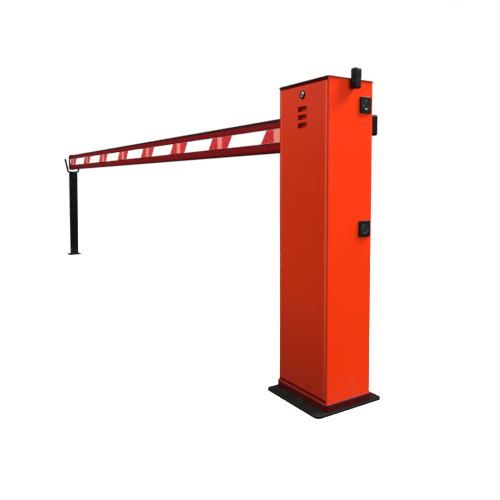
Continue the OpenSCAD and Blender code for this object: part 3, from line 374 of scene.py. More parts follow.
def white_profile(name):
    """White coat on the boom's web, with rain streaks from its upper edge."""
    made = Finish(name, srgb(250, 250, 247), 0.3)
    made.vary(srgb(226, 226, 219), size=250 * MM, amount=0.30, stretch=(0.25, 1, 1))
    streaks = made.ramp(made.noise(12 * MM, 3.0, (1, 1, 0.12)), 0.56, 0.76, to_high=0.10)
    made.paint(srgb(176, 170, 158), streaks)
    made.rough(made.noise(50 * MM, 4.0), 0.24, 0.42)
    made.bump(made.noise(2 * MM, 2.0), strength=0.07, depth=0.2 * MM)
    made.coat(weight=0.2, roughness=0.15)
    return made.done()


BAND_COUNT = 8
BAND_LONG = 246 * MM
BAND_LEAN = 44 * MM
BAND_HALF = (BAND_LONG - BAND_LEAN) / 2
BAND_LOW, BAND_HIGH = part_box("reflective_bands")
BAND_PITCH = (BAND_HIGH.x - BAND_LOW.x - BAND_LONG) / (BAND_COUNT - 1)
FIELD_HALF = 22 * MM
WEB_HIGH = 58 * MM


def from_band_middle(made, along):
    """Distance along the boom from the middle of the nearest band."""
    shift = -BAND_HIGH.x + BAND_LONG / 2 + BAND_PITCH / 2
    counted = made.maths("FLOORED_MODULO", made.maths("ADD", along, shift), BAND_PITCH)
    return made.distance(made.maths("SUBTRACT", counted, BAND_PITCH / 2))


def reflective_film(name):
    """Red prismatic film: a net of small cells, a dark rim and a plain pale field in each band."""
    made = Finish(name, srgb(208, 34, 40), 0.28)
    made.vary(srgb(178, 24, 32), size=60 * MM, amount=0.4)
    along = made.axis("X")
    above = made.maths("SUBTRACT", made.axis("Z"), BOOM_Z)
    slanted = made.maths("SUBTRACT", along, made.product(above, BAND_LEAN / WEB_HIGH))
    field = made.ramp(from_band_middle(made, along), FIELD_HALF + MM, FIELD_HALF)
    rim = made.ramp(from_band_middle(made, slanted), BAND_HALF - 5 * MM, BAND_HALF - 3 * MM)
    made.paint(srgb(238, 136, 122), field)
    made.paint(srgb(110, 12, 20), rim)
    net = made.cells(4.2 * MM, "DISTANCE_TO_EDGE", (1, 1, 1.15))
    made.paint(srgb(120, 20, 26), made.ramp(net, 0.06, 0.02, to_high=0.35))
    made.rough(made.noise(20 * MM, 4.0), 0.2, 0.38)
    made.bump(net, strength=0.2, depth=0.3 * MM)
    made.coat(weight=0.5, roughness=0.08)
    return made.done()


def lens(name):
    """Dark filter window with a glossy face and faint moulded rings."""
    made = Finish(name, srgb(22, 32, 30), 0.12)
    made.vary(srgb(48, 62, 60), size=10 * MM, amount=0.5)
    made.rough(made.noise(10 * MM, 4.0), 0.06, 0.2)
    made.bump(made.noise(3 * MM, 2.0), strength=0.06, depth=0.2 * MM)
    made.coat(weight=0.4, roughness=0.06)
    return made.done()


def laminated(name):
    """Lacquered sheets of a transformer's core, and the copper winding that stands in front of it."""
    made = Finish(name, srgb(58, 60, 63), 0.5, metallic=0.5)
    sheets = made.waves("Z", 300)
    made.paint(srgb(96, 98, 100), made.ramp(sheets, 0.4, 0.9, to_high=0.5))
    winding = made.ramp(made.axis("Y"), WINDING_Y + 0.2 * MM, WINDING_Y - 0.2 * MM)
    made.paint(srgb(168, 88, 42), winding)
    grooves = made.ramp(made.waves("X", 160), 0.5, 0.1, to_high=0.6)
    made.paint(srgb(92, 42, 16), made.product(winding, grooves))
    made.rough(made.noise(10 * MM, 4.0), 0.4, 0.6)
    made.bump(sheets, strength=0.3, depth=0.4 * MM)
    return made.done()


finishes = {
    "orange_paint": painted_steel("orange_paint", ORANGE, srgb(236, 46, 8), details=header_rail_shade),
    # door_paint is the cabinet's orange darkened as painted shade for the door face; its details add
    # painted highlights and painted shade.
    "door_paint": painted_steel("door_paint", srgb(204, 48, 13), srgb(176, 34, 8), details=door_painted_light_and_shade),
    "trim_paint": painted_steel("trim_paint", TRIM, srgb(38, 9, 10), 0.4, dusty=0.03,
                                details=plinth_rim_highlight),
    "black_coat": black_coat("black_coat", BLACK),
    "plate_coat": black_coat("plate_coat", srgb(20, 24, 22), grain=3.2 * MM, strength=0.5,
                             roughness=0.62, dusty=0.05),
    "zinc_steel": metal("zinc_steel", srgb(190, 192, 194), 0.36, tarnish=srgb(150, 148, 138)),
    "ground_steel": metal("ground_steel", srgb(200, 203, 207), 0.24, stretch=(1, 0.08, 1)),
    "plate_steel": metal("plate_steel", srgb(128, 133, 138), 0.48, stretch=(0.1, 1, 1),
                         grain=2 * MM, strength=0.2),
    "lever_steel": cast_metal("lever_steel", srgb(96, 102, 108), 0.45, metallic=0.7),
    "bearing_iron": cast_metal("bearing_iron", srgb(92, 96, 101)),
    "gear_aluminium": cast_metal("gear_aluminium", srgb(158, 162, 165), 0.5, metallic=0.9),
    "motor_paint": painted_steel("motor_paint", srgb(70, 84, 104), srgb(50, 62, 80), 0.42,
                                 dusty=0.0),
    "spring_steel": metal("spring_steel", srgb(72, 76, 82), 0.38, tarnish=srgb(40, 40, 44)),
    "release_paint": painted_steel("release_paint", srgb(222, 186, 32), srgb(190, 150, 20), 0.35,
                                   dusty=0.0),
    "bush_bronze": metal("bush_bronze", srgb(186, 142, 72), 0.34, stretch=(1, 0.1, 1)),
    "core_steel": laminated("core_steel"),
    "black_plastic": moulded("black_plastic", srgb(10, 9, 10)),
    "switch_plastic": moulded("switch_plastic", srgb(34, 40, 46)),
    "ring_plastic": moulded("ring_plastic", srgb(46, 49, 49), 0.35, lift=1.2),
    "lens_plastic": lens("lens_plastic"),
    "box_plastic": moulded("box_plastic", srgb(196, 199, 200), 0.45, lift=0.86),
    "seal_rubber": rubber("seal_rubber", srgb(22, 22, 23), lift=1.8),
    "rail_rubber": rubber("rail_rubber", srgb(112, 5, 10), lift=0.62, roughness=0.5,
                          stretch=(0.15, 1, 1), details=rail_stripes),
    "boom_white": white_profile("boom_white"),
    "lock_nickel": metal("lock_nickel", srgb(216, 214, 208), 0.2, stretch=(0.2, 1, 1),
                         grain=0.8 * MM, strength=0.08),
    "band_film": reflective_film("band_film"),
}

SLOT_OF = {part["node"]: part["material_slot"] for part in frame["record"]["subparts"]}


# ---- mesh helpers ----

SMOOTH_UP_TO = math.radians(35)
WELD_WITHIN = 0.02 * MM
FLAT_WITHIN = math.radians(0.4)
BEVEL_FROM = math.radians(38)
FLAT_FACE_WEIGHT = 60


def as_piece(name, made, body, slot, *replaced):
    """Turns a bmesh into a smooth-shaded piece that rides on a body and stands for CAD nodes."""
    bmesh.ops.recalc_face_normals(made, faces=made.faces)
    mesh = bpy.data.meshes.new(name)
    made.to_mesh(mesh)
    made.free()
    piece = bpy.data.objects.new(name, mesh)
    scene.collection.objects.link(piece)
    mesh.shade_smooth()
    mesh.set_sharp_from_angle(angle=SMOOTH_UP_TO)
    mesh.materials.append(finishes[slot])
    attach(piece, body)
    if replaced:
        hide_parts(*replaced)
    return piece


def soften(piece, width, segments=2):
    """Rounds the sharp edges of a piece or CAD node as it is shown."""
    weld = piece.modifiers.new("weld", "WELD")
    weld.merge_threshold = WELD_WITHIN
    flats = piece.modifiers.new("merge flats", "DECIMATE")
    flats.decimate_type = "DISSOLVE"
    flats.angle_limit = FLAT_WITHIN
    bevel = piece.modifiers.new("round edges", "BEVEL")
    bevel.width = width
    bevel.segments = segments
    bevel.limit_method = "ANGLE"
    bevel.angle_limit = BEVEL_FROM
    bevel.use_clamp_overlap = True
    normals = piece.modifiers.new("even normals", "WEIGHTED_NORMAL")
    normals.weight = FLAT_FACE_WEIGHT
    return piece


def ring_of(made, points):
    """A row of new vertices at points."""
    return [made.verts.new(point) for point in points]


def join_rings(made, first, second):
    """Strip of faces between two closed rings of as many vertices."""
    count = len(first)
    for i in range(count):
        after = (i + 1) % count
        made.faces.new((first[i], first[after], second[after], second[i]))


def skin(made, rings):
    """Closed solid through a row of rings."""
    for first, second in zip(rings, rings[1:]):
        join_rings(made, first, second)
    made.faces.new(rings[0])
    made.faces.new(rings[-1])


def turned_rings(made, profile, centre, axis, sides):
    """A ring of vertices round an axis for each (radius, height) pair of a profile."""
    across = X if abs(axis.dot(X)) < 0.5 else Y
    side = axis.cross(across).normalized()
    front = side.cross(axis).normalized()
    turns = [2 * math.pi * i / sides for i in range(sides)]
    return [ring_of(made, [
        Vector(centre) + axis * height + (front * math.cos(turn) + side * math.sin(turn)) * radius
        for turn in turns]) for radius, height in profile]


def lathe(made, profile, centre, axis, sides=48):
    """Turns an open profile round an axis and closes both ends."""
    skin(made, turned_rings(made, profile, centre, axis, sides))


def lathe_ring(made, profile, centre, axis, sides=64):
    """Turns a closed profile round an axis, leaving a hole in the middle."""
    rings = turned_rings(made, profile, centre, axis, sides)
    for first, second in zip(rings, rings[1:] + rings[:1]):
        join_rings(made, first, second)


def sweep(made, line, radius, sides=20):
    """Round bar along a line of points; radius may be one number or one for each point."""
    radii = radius if isinstance(radius, list) else [radius] * len(line)
    last = len(line) - 1
    run = (line[1] - line[0]).normalized()
    side = run.cross(X if abs(run.dot(X)) < 0.9 else Y).normalized()
    rings = []
    for i, point in enumerate(line):
        run = (line[min(i + 1, last)] - line[max(i - 1, 0)]).normalized()
        side = (side - run * side.dot(run)).normalized()
        up = run.cross(side)
        turns = [2 * math.pi * k / sides for k in range(sides)]
        rings.append(ring_of(made, [
            point + (side * math.cos(turn) + up * math.sin(turn)) * radii[i] for turn in turns]))
    skin(made, rings)


def extrude(made, outline, start, reach):
    """Closed prism: an outline of points at start, pushed along reach."""
    near = ring_of(made, [start + point for point in outline])
    far = ring_of(made, [start + point + reach for point in outline])
    skin(made, [near, far])


def round_plan(middle, half_x, half_y, radius, z):
    """Level rectangle with round corners; half_x and half_y reach the corners' centres."""
    points = []
    for way_x, way_y, start in ((1, 1, 0), (-1, 1, 90), (-1, -1, 180), (1, -1, 270)):
        for step in range(7):
            turn = math.radians(start + 15 * step)
            points.append(Vector((middle.x + way_x * half_x + radius * math.cos(turn),
                                  middle.y + way_y * half_y + radius * math.sin(turn), z)))
    return points


def tower(made, low, high, corner, top_round, foot_round):
    """Upright block with round corners whose top and foot are rounded by their own radii."""
    stations = [(foot_round * (1 - math.sin(turn)), low.z + foot_round * (1 - math.cos(turn)))
                for turn in QUARTER_TURN]
    stations += [(top_round * (1 - math.cos(turn)), high.z - top_round * (1 - math.sin(turn)))
                 for turn in QUARTER_TURN]
    rings = []
    for inset, z in stations:
        radius = max(corner - inset, 0.5 * MM)
        half_x = (high.x - low.x) / 2 - inset - radius
        half_y = (high.y - low.y) / 2 - inset - radius
        rings.append(ring_of(made, round_plan((low + high) / 2, half_x, half_y, radius, z)))
    skin(made, rings)


def dome_screw(made, at, axis, radius, height):
    """Low domed head with a hexagon socket."""
    socket = radius * 0.45
    profile = [(radius, 0), (radius, height * 0.35), (radius * 0.86, height * 0.75),
               (radius * 0.6, height), (socket, height), (socket * 0.95, height * 0.35)]
    lathe(made, profile, at, axis, sides=24)


# ---- CAD nodes that keep their shape ----

FINE_EDGE = 0.3
WIDER_EDGES = {
    "foundation_plate": 1.2, "plinth": 0.8, "lid": 0.8, "cabinet_shell": 0.7, "end_cap": 2.0,
    "arm_holder": 1.2, "clamp_plate": 1.2, "post_tube": 0.8, "post_foot": 1.0,
    "antenna_cap": 0.6, "antenna_base": 1.2, "upper_photocell_housing": 0.6,
    "lower_photocell_housing": 0.6, "gearbox_housing": 2.5, "gearbox_cover": 1.5, "motor": 1.2,
    "control_box_base": 1.5, "control_box_lid": 2.0, "crank": 1.0, "rocker": 1.0,
}


def round_cad_nodes():
    """Gives every CAD node the finish of its slot and softly rounded edges, in mm."""
    for name, node in nodes.items():
        node.data.materials.clear()
        node.data.materials.append(finishes[SLOT_OF[name]])
        soften(node, WIDER_EDGES.get(name, FINE_EDGE) * MM)


# ---- door ----

LOUVRE_WIDTH = 47 * MM
LOUVRE_HEIGHT = 17 * MM
LOUVRE_PITCH = 27 * MM
LOUVRE_DEPTH = 11 * MM
LOUVRE_COUNT = 3
LOUVRE_BELOW_LOCK = 38.5 * MM
SHEET = 2 * MM
SIDE_BEND = 7 * MM
END_BEND = 3 * MM
LOCK_HOLE = 8 * MM
HOOK_X = 70 * MM
HOOK_NOTCH = 18 * MM
HOOK_HEIGHT = 24 * MM
CHEEK_STARTS = (-17 * MM, 14 * MM)
CHEEK_THICK = 3 * MM
PIN_UP = 6 * MM
PIN_SLOT_RADIUS = 4.25 * MM
LOUVRE_SLOPE = ((0.10, 0.01), (0.45, 0.06), (0.75, 0.22), (0.92, 0.55), (1.0, 1.0))


def door_skin(low, high, lock_z):
    """Front skin of the folded pan: flat face with openings, round bends and the edge folds."""
    made = bmesh.new()
    flat_x = high.x - SIDE_BEND
    louvre_tops = [lock_z - LOUVRE_BELOW_LOCK - i * LOUVRE_PITCH for i in range(LOUVRE_COUNT)]
    xs = [-flat_x, -LOUVRE_WIDTH / 2, -LOCK_HOLE, LOCK_HOLE, LOUVRE_WIDTH / 2, flat_x]
    xs += [side * HOOK_X + way * HOOK_NOTCH for side in (-1, 1) for way in (-1, 1)]
    zs = [low.z + END_BEND, lock_z - LOCK_HOLE, lock_z + LOCK_HOLE, high.z - END_BEND]
    zs += louvre_tops + [top - LOUVRE_HEIGHT for top in louvre_tops]
    xs.sort()
    zs.sort()
    face = {(i, k): made.verts.new((x, low.y, z))
            for i, x in enumerate(xs) for k, z in enumerate(zs)}

    def is_open(x, z):
        in_lock = abs(x) < LOCK_HOLE and abs(z - lock_z) < LOCK_HOLE
        in_louvre = abs(x) < LOUVRE_WIDTH / 2 and any(
            top - LOUVRE_HEIGHT < z < top for top in louvre_tops)
        return in_lock or in_louvre

    for i in range(len(xs) - 1):
        for k in range(len(zs) - 1):
            if not is_open((xs[i] + xs[i + 1]) / 2, (zs[k] + zs[k + 1]) / 2):
                made.faces.new((face[i, k], face[i + 1, k], face[i + 1, k + 1], face[i, k + 1]))
    for top in louvre_tops:
        press_louvre(made, face, xs, zs, low.y, top)
    fold_edges(made, face, xs, zs, low, high)
    return made


def press_louvre(made, face, xs, zs, front, top):
    """Pocket that slopes in from the upper edge of its opening, with a cheek on each side."""
    columns = [i for i, x in enumerate(xs) if abs(x) < LOUVRE_WIDTH / 2 + MM]
    upper = zs.index(top)
    lower = zs.index(top - LOUVRE_HEIGHT)
    before = [face[i, upper] for i in columns]
    cheeks = [[before[0]], [before[-1]]]
    for depth, drop in LOUVRE_SLOPE:
        z = top - drop * LOUVRE_HEIGHT
        row = [made.verts.new((xs[i], front + depth * LOUVRE_DEPTH, z)) for i in columns]
        for a, b, c, d in zip(before, before[1:], row[1:], row):
            made.faces.new((a, d, c, b))
        before = row
        cheeks[0].append(row[0])
        cheeks[1].append(row[-1])
    for side, column in zip(cheeks, (columns[0], columns[-1])):
        made.faces.new(side + [face[column, lower]])


def fold_edges(made, face, xs, zs, low, high):
    """Carries the outline of the flat face round the bends and back along the folds."""
    nx = len(xs) - 1
    nz = len(zs) - 1
    loop = [(i, 0) for i in range(nx)] + [(nx, k) for k in range(nz)]
    loop += [(i, nz) for i in range(nx, 0, -1)] + [(0, k) for k in range(nz, 0, -1)]
    before = [face[at] for at in loop]
    depth = high.y - low.y
    stations = [(1 - math.sin(turn), SIDE_BEND * (1 - math.cos(turn))) for turn in QUARTER_TURN[1:]]
    stations.append((0, depth))
    for inset, back in stations:
        row = []
        for i, k in loop:
            x, z = xs[i], zs[k]
            if i in (0, nx):
                x = math.copysign(high.x - SIDE_BEND * inset, x)
            if k == 0:
                z = low.z + END_BEND * inset
            if k == nz:
                z = high.z - END_BEND * inset
            row.append(made.verts.new((x, low.y + back, z)))
        for n in range(len(loop)):
            after = (n + 1) % len(loop)
            middle_x = (before[n].co.x + before[after].co.x) / 2
            notched = loop[n][1] == 0 and loop[after][1] == 0 and (
                abs(abs(middle_x) - HOOK_X) < HOOK_NOTCH)
            if back == depth and notched:
                continue
            made.faces.new((before[n], row[n], row[after], before[after]))
        before = row


def door_hooks(low, high):
    """Two cheeks over each pivot pin, with a mouth that is open downwards."""
    made = bmesh.new()
    pin_y = (low.y + high.y) / 2
    pin_z = low.z + PIN_UP
    radius = PIN_SLOT_RADIUS
    half_turn = [math.radians(15 * step) for step in range(13)]
    mouth = [(pin_y + radius * math.cos(turn), pin_z + radius * math.sin(turn))
             for turn in half_turn]
    foot = low.z + SHEET
    outline = [(high.y - MM, foot), (pin_y + radius, foot)] + mouth + [
        (pin_y - radius, foot), (low.y + SHEET, foot),
        (low.y + SHEET, foot + HOOK_HEIGHT), (high.y - 4 * MM, foot + HOOK_HEIGHT),
        (high.y - MM, foot + HOOK_HEIGHT - 3 * MM)]
    points = [Vector((0, y, z)) for y, z in outline]
    for side in (-1, 1):
        for start in CHEEK_STARTS:
            extrude(made, points, X * (side * HOOK_X + start), X * CHEEK_THICK)
    return made


def build_door():
    """Folded sheet pan with pressed louvres, and the hooks that stand on the pivot pins."""
    lock_low, lock_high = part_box("lock_housing")
    skin_mesh = door_skin(DOOR_LOW, DOOR_HIGH, (lock_low.z + lock_high.z) / 2)
    door = as_piece("door_sheet", skin_mesh, "door", "door_paint", "door_panel")
    thick = door.modifiers.new("sheet", "SOLIDIFY")
    thick.thickness = SHEET
    thick.offset = -1
    soften(door, 0.6 * MM, segments=3)
    hooks = as_piece("door_hooks", door_hooks(DOOR_LOW, DOOR_HIGH), "door", "door_paint")
    soften(hooks, 0.4 * MM)


KEYWAY_MM = ((-0.9, 4.2), (0.9, 4.2), (0.9, 1.6), (1.8, 1.0), (0.9, 0.2), (0.9, -4.2),
             (-0.9, -4.2), (-0.9, -1.4), (-1.8, -0.8), (-0.9, 0.1))
KEYWAY_INSET = 0.7 * MM
KEYWAY_DEEP = 0.4 * MM
PLUG_GAP = 0.25 * MM


def build_lock():
    """Cylinder lock: a domed nickel face with a key slot in a black flanged bush."""
    low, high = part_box("lock_barrel")
    bush_low, bush_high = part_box("lock_housing")
    centre = Vector((0, 0, (low.z + high.z) / 2))
    outward = -Y
    face = -low.y
    radius = high.x

    made = bmesh.new()
    lathe(made, [(4 * MM, -high.y), (radius - MM, -high.y), (radius, -high.y + MM),
                 (radius, face - 2.2 * MM), (radius - 0.5 * MM, face - MM),
                 (radius - 1.8 * MM, face - 0.3 * MM), (radius - 3 * MM, face - 0.5 * MM),
                 (radius - 3.4 * MM, face - 0.9 * MM), (2 * MM, face - 0.9 * MM)],
          centre, outward, sides=64)
    as_piece("lock_plug", made, "lock", "lock_nickel", "lock_barrel")

    made = bmesh.new()
    points = [Vector((x * MM, 0, z * MM)) for x, z in KEYWAY_MM]
    extrude(made, points, centre + Y * (low.y + KEYWAY_INSET), Y * KEYWAY_DEEP)
    as_piece("lock_keyway", made, "lock", "black_plastic")

    made = bmesh.new()
    flange = -bush_low.y
    outer = bush_high.x
    inner = radius + PLUG_GAP
    thread = outer - 2.5 * MM
    lathe_ring(made, [(inner, -bush_high.y), (thread, -bush_high.y), (thread, flange - 3 * MM),
                      (outer, flange - 3 * MM), (outer, flange - 1.4 * MM),
                      (outer - 0.6 * MM, flange - 0.5 * MM), (outer - 1.8 * MM, flange),
                      (inner + 0.8 * MM, flange), (inner, flange - 0.8 * MM)], centre, outward)
    as_piece("lock_bush", made, "door", "black_plastic", "lock_housing")


# ---- side fittings ----

CELL_RING_OUTER = 17 * MM
CELL_RING_INNER = 13.2 * MM
CELL_WINDOW_GAP = 0.2 * MM
CELL_DEEP = 3 * MM


def build_photocells():
    """Raised ring and stepped window in each photocell housing; the upper pair stands for both."""
    for level in ("upper", "lower"):
        low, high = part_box(level + "_photocell_housing")
        centre = Vector((0, (low.y + high.y) / 2, (low.z + high.z) / 2))
        face = high.x
        back = face - CELL_DEEP
        outer = CELL_RING_OUTER
        inner = CELL_RING_INNER
        rim = inner - CELL_WINDOW_GAP
        stands_for = level == "upper"
        made = bmesh.new()
        lathe_ring(made, [
            (outer, back), (outer, face - 0.4 * MM), (outer - 0.6 * MM, face + 0.3 * MM),
            (outer - 1.4 * MM, face + 0.5 * MM), (inner + 1.2 * MM, face + 0.1 * MM),
            (inner, face - 0.9 * MM), (inner, back)], centre, X)
        names = ("photocell_rings",) if stands_for else ()
        as_piece(level + "_ring", made, "cabinet", "ring_plastic", *names)
        made = bmesh.new()
        lathe(made, [
            (rim, back), (rim, face - 1.1 * MM), (rim - MM, face - 0.7 * MM),
            (rim - 1.6 * MM, face - 1.1 * MM), (7 * MM, face - 0.6 * MM),
            (4 * MM, face - 0.25 * MM), (1.5 * MM, face - 0.1 * MM)], centre, X, sides=64)
        names = ("photocell_lenses",) if stands_for else ()
        as_piece(level + "_window", made, "cabinet", "lens_plastic", *names)


ANTENNA_WIDER = Y * 2 * MM
ANTENNA_SEAM = Z * 0.7 * MM


def build_antenna():
    """Rounded cap on a slightly narrower base, with a seam between them and two screws on top."""
    low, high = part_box("antenna_cap")
    base_low, base_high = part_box("antenna_base")
    made = bmesh.new()
    tower(made, low - ANTENNA_WIDER + ANTENNA_SEAM, high + ANTENNA_WIDER,
          corner=7 * MM, top_round=6 * MM, foot_round=0.6 * MM)
    as_piece("antenna_shell", made, "cabinet", "black_plastic", "antenna_cap")

    made = bmesh.new()
    body_low = Vector((low.x + 0.5 * MM, base_low.y, base_low.z))
    tower(made, body_low - ANTENNA_WIDER, base_high + ANTENNA_WIDER,
          corner=6 * MM, top_round=0.6 * MM, foot_round=5 * MM)
    bracket_low = Vector((base_low.x, base_low.y + 4 * MM, base_low.z + 4 * MM))
    bracket_high = Vector((low.x + 8 * MM, base_high.y - 4 * MM, base_high.z - 4 * MM))
    tower(made, bracket_low, bracket_high, corner=1.5 * MM, top_round=MM, foot_round=MM)
    as_piece("antenna_body", made, "cabinet", "black_plastic", "antenna_base")

    made = bmesh.new()
    for y in (low.y + 7 * MM, high.y - 7 * MM):
        at = ((low.x + high.x) / 2, y, high.z - 0.4 * MM)
        dome_screw(made, at, Z, radius=2 * MM, height=0.4 * MM)
    as_piece("antenna_screws", made, "cabinet", "black_plastic")


# ---- boom ----

RAIL_ROUND = 15 * MM
RAIL_GROOVE = 0.9 * MM
NECK_CLEAR = 0.3 * MM
NECK_WALL = 6 * MM
NECK_DEEP = 13.3 * MM


def rail_outline(half_width, height):
    """Right half of the rubber rail's section from the web's edge up, then mirrored."""
    grooved = half_width - RAIL_GROOVE
    side = [(half_width - 0.8 * MM, 0), (half_width - 0.1 * MM, 1.0 * MM), (half_width, 4 * MM),
            (half_width, 6 * MM), (grooved, 6.8 * MM), (grooved, 8.2 * MM),
            (half_width, 9 * MM), (half_width, height - RAIL_ROUND)]
    for step in range(1, 8):
        turn = math.radians(11.25 * step)
        side.append((half_width - RAIL_ROUND * (1 - math.cos(turn)),
                     height - RAIL_ROUND * (1 - math.sin(turn))))
    for rib in (7, 4, 1):
        side += [(rib * MM, height), ((rib - 0.5) * MM, height - RAIL_GROOVE),
                 ((rib - 1.1) * MM, height - RAIL_GROOVE)]
    side.pop()
    return side + [(-y, z) for y, z in reversed(side)]


def build_rails():
    """Rubber rails with a lip at the web, a side groove and fine ribs on the crown."""
    for name, way in (("upper_rail", 1), ("lower_rail", -1)):
        low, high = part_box(name)
        centre_y = (low.y + high.y) / 2
        web_z = low.z if way > 0 else high.z
        half_width = (high.y - low.y) / 2
        section = rail_outline(half_width, high.z - low.z) + neck_groove(half_width)
        points = [Vector((0, centre_y + y, web_z + way * z)) for y, z in section]
        made = bmesh.new()
        extrude(made, points, X * low.x, X * (high.x - low.x))
        as_piece(name + "_rubber", made, "boom", "rail_rubber", name)


def neck_groove(half_width):
    """Slot in the rail's underside that holds the boom's neck."""
    neck = half_width - NECK_WALL + NECK_CLEAR
    return [(-neck, 0), (-neck, NECK_DEEP), (neck, NECK_DEEP), (neck, 0)]


# ---- post ----

FORK_SINK = 2 * MM
FORK_HALF_FOOT = 52 * MM
FORK_BEND = 18 * MM
FORK_FLARE = math.radians(12)
FORK_RISE = math.radians(12)
WELD_RADIUS = 2.2 * MM
WELD_CORNER = 6 * MM


def fork_half(tip_y):
    """Right half of the fork's centre line, as (y, z): flat foot, tight bend, flared arm."""
    foot_radius = (FORK_HALF_FOOT - FORK_BEND * (1 - math.sin(FORK_RISE))) / math.sin(FORK_RISE)
    bend_y = foot_radius * math.sin(FORK_RISE) - FORK_BEND * math.sin(FORK_RISE)
    bend_z = foot_radius * (1 - math.cos(FORK_RISE)) + FORK_BEND * math.cos(FORK_RISE)
    half = []
    for step in range(9):
        turn = FORK_RISE * step / 8
        half.append((foot_radius * math.sin(turn), foot_radius * (1 - math.cos(turn))))
    for step in range(1, 13):
        turn = FORK_RISE + (math.pi / 2 - FORK_FLARE - FORK_RISE) * step / 12
        half.append((bend_y + FORK_BEND * math.sin(turn), bend_z - FORK_BEND * math.cos(turn)))
    reach = (tip_y - half[-1][0]) / math.sin(FORK_FLARE)
    half.append((tip_y, half[-1][1] + reach * math.cos(FORK_FLARE)))
    return half


def build_fork():
    """Bent round bar with rounded tips, its foot sunk slightly into the post's top."""
    low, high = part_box("fork")
    centre = (low + high) / 2
    radius = (high.x - low.x) / 2
    bottom = low.z + radius - FORK_SINK
    half = fork_half((high.y - low.y) / 2 - radius * math.cos(FORK_FLARE))
    path = [(-y, z) for y, z in reversed(half[1:])] + half
    line = [Vector((centre.x, centre.y + y, bottom + z)) for y, z in path]
    radii = [radius] * len(line)
    made = bmesh.new()
    add_round_tips(line, radii, radius)
    sweep(made, line, radii, sides=28)
    as_piece("fork_bar", made, "cabinet", "black_coat", "fork")


def add_round_tips(line, radii, radius):
    """Lets the radius of a swept bar run out to a hemisphere beyond both ends."""
    turns = [math.radians(18 * step) for step in range(1, 5)]
    for end, inner in ((0, 1), (-1, -2)):
        run = (line[end] - line[inner]).normalized()
        tip = line[end].copy()
        for turn in turns:
            point = tip + run * radius * math.sin(turn)
            size = radius * math.cos(turn)
            if end == 0:
                line.insert(0, point)
                radii.insert(0, size)
            else:
                line.append(point)
                radii.append(size)


def build_post_weld():
    """Weld bead round the foot of the post."""
    low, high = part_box("post_tube")
    half_x = (high.x - low.x) / 2 - WELD_CORNER
    half_y = (high.y - low.y) / 2 - WELD_CORNER
    line = round_plan((low + high) / 2, half_x, half_y, WELD_CORNER, low.z)
    line.append(line[0].copy())
    made = bmesh.new()
    sweep(made, line, WELD_RADIUS, sides=10)
    as_piece("post_weld", made, "cabinet", "black_coat")


# ---- inside the cabinet ----

SPRING_TURNS = 36
SPRING_WIRE = 2.4 * MM
SPRING_STEPS = 20
PITCH_EASE = 0.010


def build_spring():
    """Coil with slightly closer turns in the middle."""
    low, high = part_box("balance_spring")
    centre = (low + high) / 2
    radius = (high.x - low.x) / 2 - SPRING_WIRE
    bottom = low.z + SPRING_WIRE
    length = high.z - low.z - 2 * SPRING_WIRE
    line = []
    for i in range(SPRING_TURNS * SPRING_STEPS + 1):
        share = i / (SPRING_TURNS * SPRING_STEPS)
        turn = 2 * math.pi * i / SPRING_STEPS
        eased = share + PITCH_EASE * math.sin(2 * math.pi * share)
        line.append(Vector((centre.x + radius * math.cos(turn), centre.y + radius * math.sin(turn),
                            bottom + length * eased)))
    made = bmesh.new()
    sweep(made, line, SPRING_WIRE, sides=10)
    spring = as_piece("spring_coil", made, "cabinet", "spring_steel", "balance_spring")
    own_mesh(spring)


def build_box_screws():
    """Cover screws of the control box."""
    low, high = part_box("control_box_lid")
    inset = 9 * MM
    made = bmesh.new()
    for x in (low.x + inset, high.x - inset):
        for z in (low.z + inset, high.z - inset):
            dome_screw(made, (x, low.y, z), -Y, radius=3.5 * MM, height=1.4 * MM)
    as_piece("box_screws", made, "cabinet", "zinc_steel")


# ---- studio ----

WHITE = (1, 1, 1, 1)
PALE = (0.9, 0.9, 0.9, 1)
FLOOR_CORNERS = ((-60, -40), (40, -40), (40, 60), (-60, 60))
FLOOR_LOW = -20 * MM
FLOOR_THICK = 19.9 * MM
FLOOR_GLOW = 0.92
AMBIENT = 0.15
# name, place, aim, size in m, power in W, seen in reflections
LIGHTS = (
    ("key", (1.0, 2.6, 3.9), (0, 0, 0.7), 1.6, 340, True),
    ("right", (4.2, 0.6, 1.3), (0, 0, 0.4), 3.0, 110, True),
    ("front", (-1.0, -2.2, 3.2), (-0.6, 0, 0.8), 2.0, 108, True),
    ("boom", (-3.7, -2.5, 2.8), (-3.2, 0.14, 0.9), 2.5, 120, False),
)
CAMERA_AT = (1.3576, -1.1738, 0.7490)
CAMERA_YAW = 57.37
CAMERA_PITCH = 2.62
CAMERA_LENS = 36.94
CAMERA_SENSOR = 36
CAMERA_SHIFT = -0.09
CAMERA_FAR = 200


def area_light(name, at, aim, size, power, mirrored):
    """Square lamp that the camera doesn't see."""
    light = bpy.data.lights.new(name, "AREA")
    light.shape = "SQUARE"
    light.size = size
    light.energy = power
    lamp = bpy.data.objects.new(name, light)
    lamp.location = at
    lamp.visible_camera = False
    lamp.visible_glossy = mirrored
    lamp.rotation_euler = (Vector(aim) - Vector(at)).to_track_quat("-Z", "Y").to_euler()
    scene.collection.objects.link(lamp)


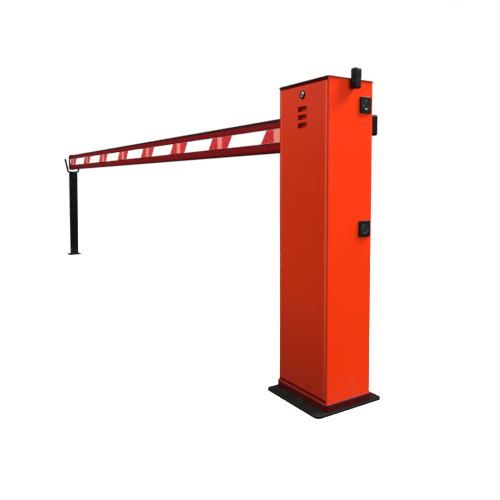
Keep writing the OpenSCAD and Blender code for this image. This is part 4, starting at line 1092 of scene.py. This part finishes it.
def build_floor():
    """Pale glowing floor, kept out of the object's lighting and reflections."""
    made = bmesh.new()
    extrude(made, [Vector((x, y, 0)) for x, y in FLOOR_CORNERS], Z * FLOOR_LOW, Z * FLOOR_THICK)
    mesh = bpy.data.meshes.new("floor")
    made.to_mesh(mesh)
    made.free()
    floor = bpy.data.objects.new("floor", mesh)
    scene.collection.objects.link(floor)
    pale = Finish("floor_paint", PALE, 0.85)
    pale.rough(pale.noise(400 * MM), 0.8, 0.95)
    pale.shader.inputs["Emission Color"].default_value = WHITE
    pale.shader.inputs["Emission Strength"].default_value = FLOOR_GLOW
    mesh.materials.append(pale.done())
    floor.visible_diffuse = False
    floor.visible_glossy = False


def build_world():
    """Plain white for the camera, a weak even light for everything else."""
    world = bpy.data.worlds.new("studio")
    scene.world = world
    world.use_nodes = True
    tree = world.node_tree
    tree.nodes.clear()
    output = tree.nodes.new("ShaderNodeOutputWorld")
    mixed = tree.nodes.new("ShaderNodeMixShader")
    seen = tree.nodes.new("ShaderNodeBackground")
    seen.inputs["Color"].default_value = WHITE
    lighting = tree.nodes.new("ShaderNodeBackground")
    lighting.inputs["Color"].default_value = WHITE
    lighting.inputs["Strength"].default_value = AMBIENT
    rays = tree.nodes.new("ShaderNodeLightPath")
    tree.links.new(rays.outputs["Is Camera Ray"], mixed.inputs[0])
    tree.links.new(lighting.outputs[0], mixed.inputs[1])
    tree.links.new(seen.outputs[0], mixed.inputs[2])
    tree.links.new(mixed.outputs[0], output.inputs[0])


def build_studio():
    """Floor, surroundings, lamps and plain colour handling."""
    build_floor()
    build_world()
    for lamp in LIGHTS:
        area_light(*lamp)
    scene.view_settings.view_transform = "Standard"
    scene.view_settings.look = "None"


def build_camera():
    """Camera at the photograph's viewing angle, fitted to the object's outlines."""
    yaw = math.radians(CAMERA_YAW)
    pitch = math.radians(CAMERA_PITCH)
    forward = Vector((-math.sin(yaw) * math.cos(pitch), math.cos(yaw) * math.cos(pitch),
                      -math.sin(pitch)))
    right = Vector((math.cos(yaw), math.sin(yaw), 0))
    up = right.cross(forward)
    data = bpy.data.cameras.new("camera")
    data.lens = CAMERA_LENS
    data.sensor_width = CAMERA_SENSOR
    data.shift_y = CAMERA_SHIFT
    data.clip_end = CAMERA_FAR
    camera = bpy.data.objects.new("camera", data)
    turned = Matrix((right, up, -forward)).transposed().to_4x4()
    camera.matrix_world = Matrix.Translation(CAMERA_AT) @ turned
    scene.collection.objects.link(camera)
    scene.camera = camera


# ---- build ----

round_cad_nodes()
build_door()
build_lock()
build_photocells()
build_antenna()
build_rails()
build_fork()
build_post_weld()
build_spring()
build_box_screws()
build_studio()
build_camera()
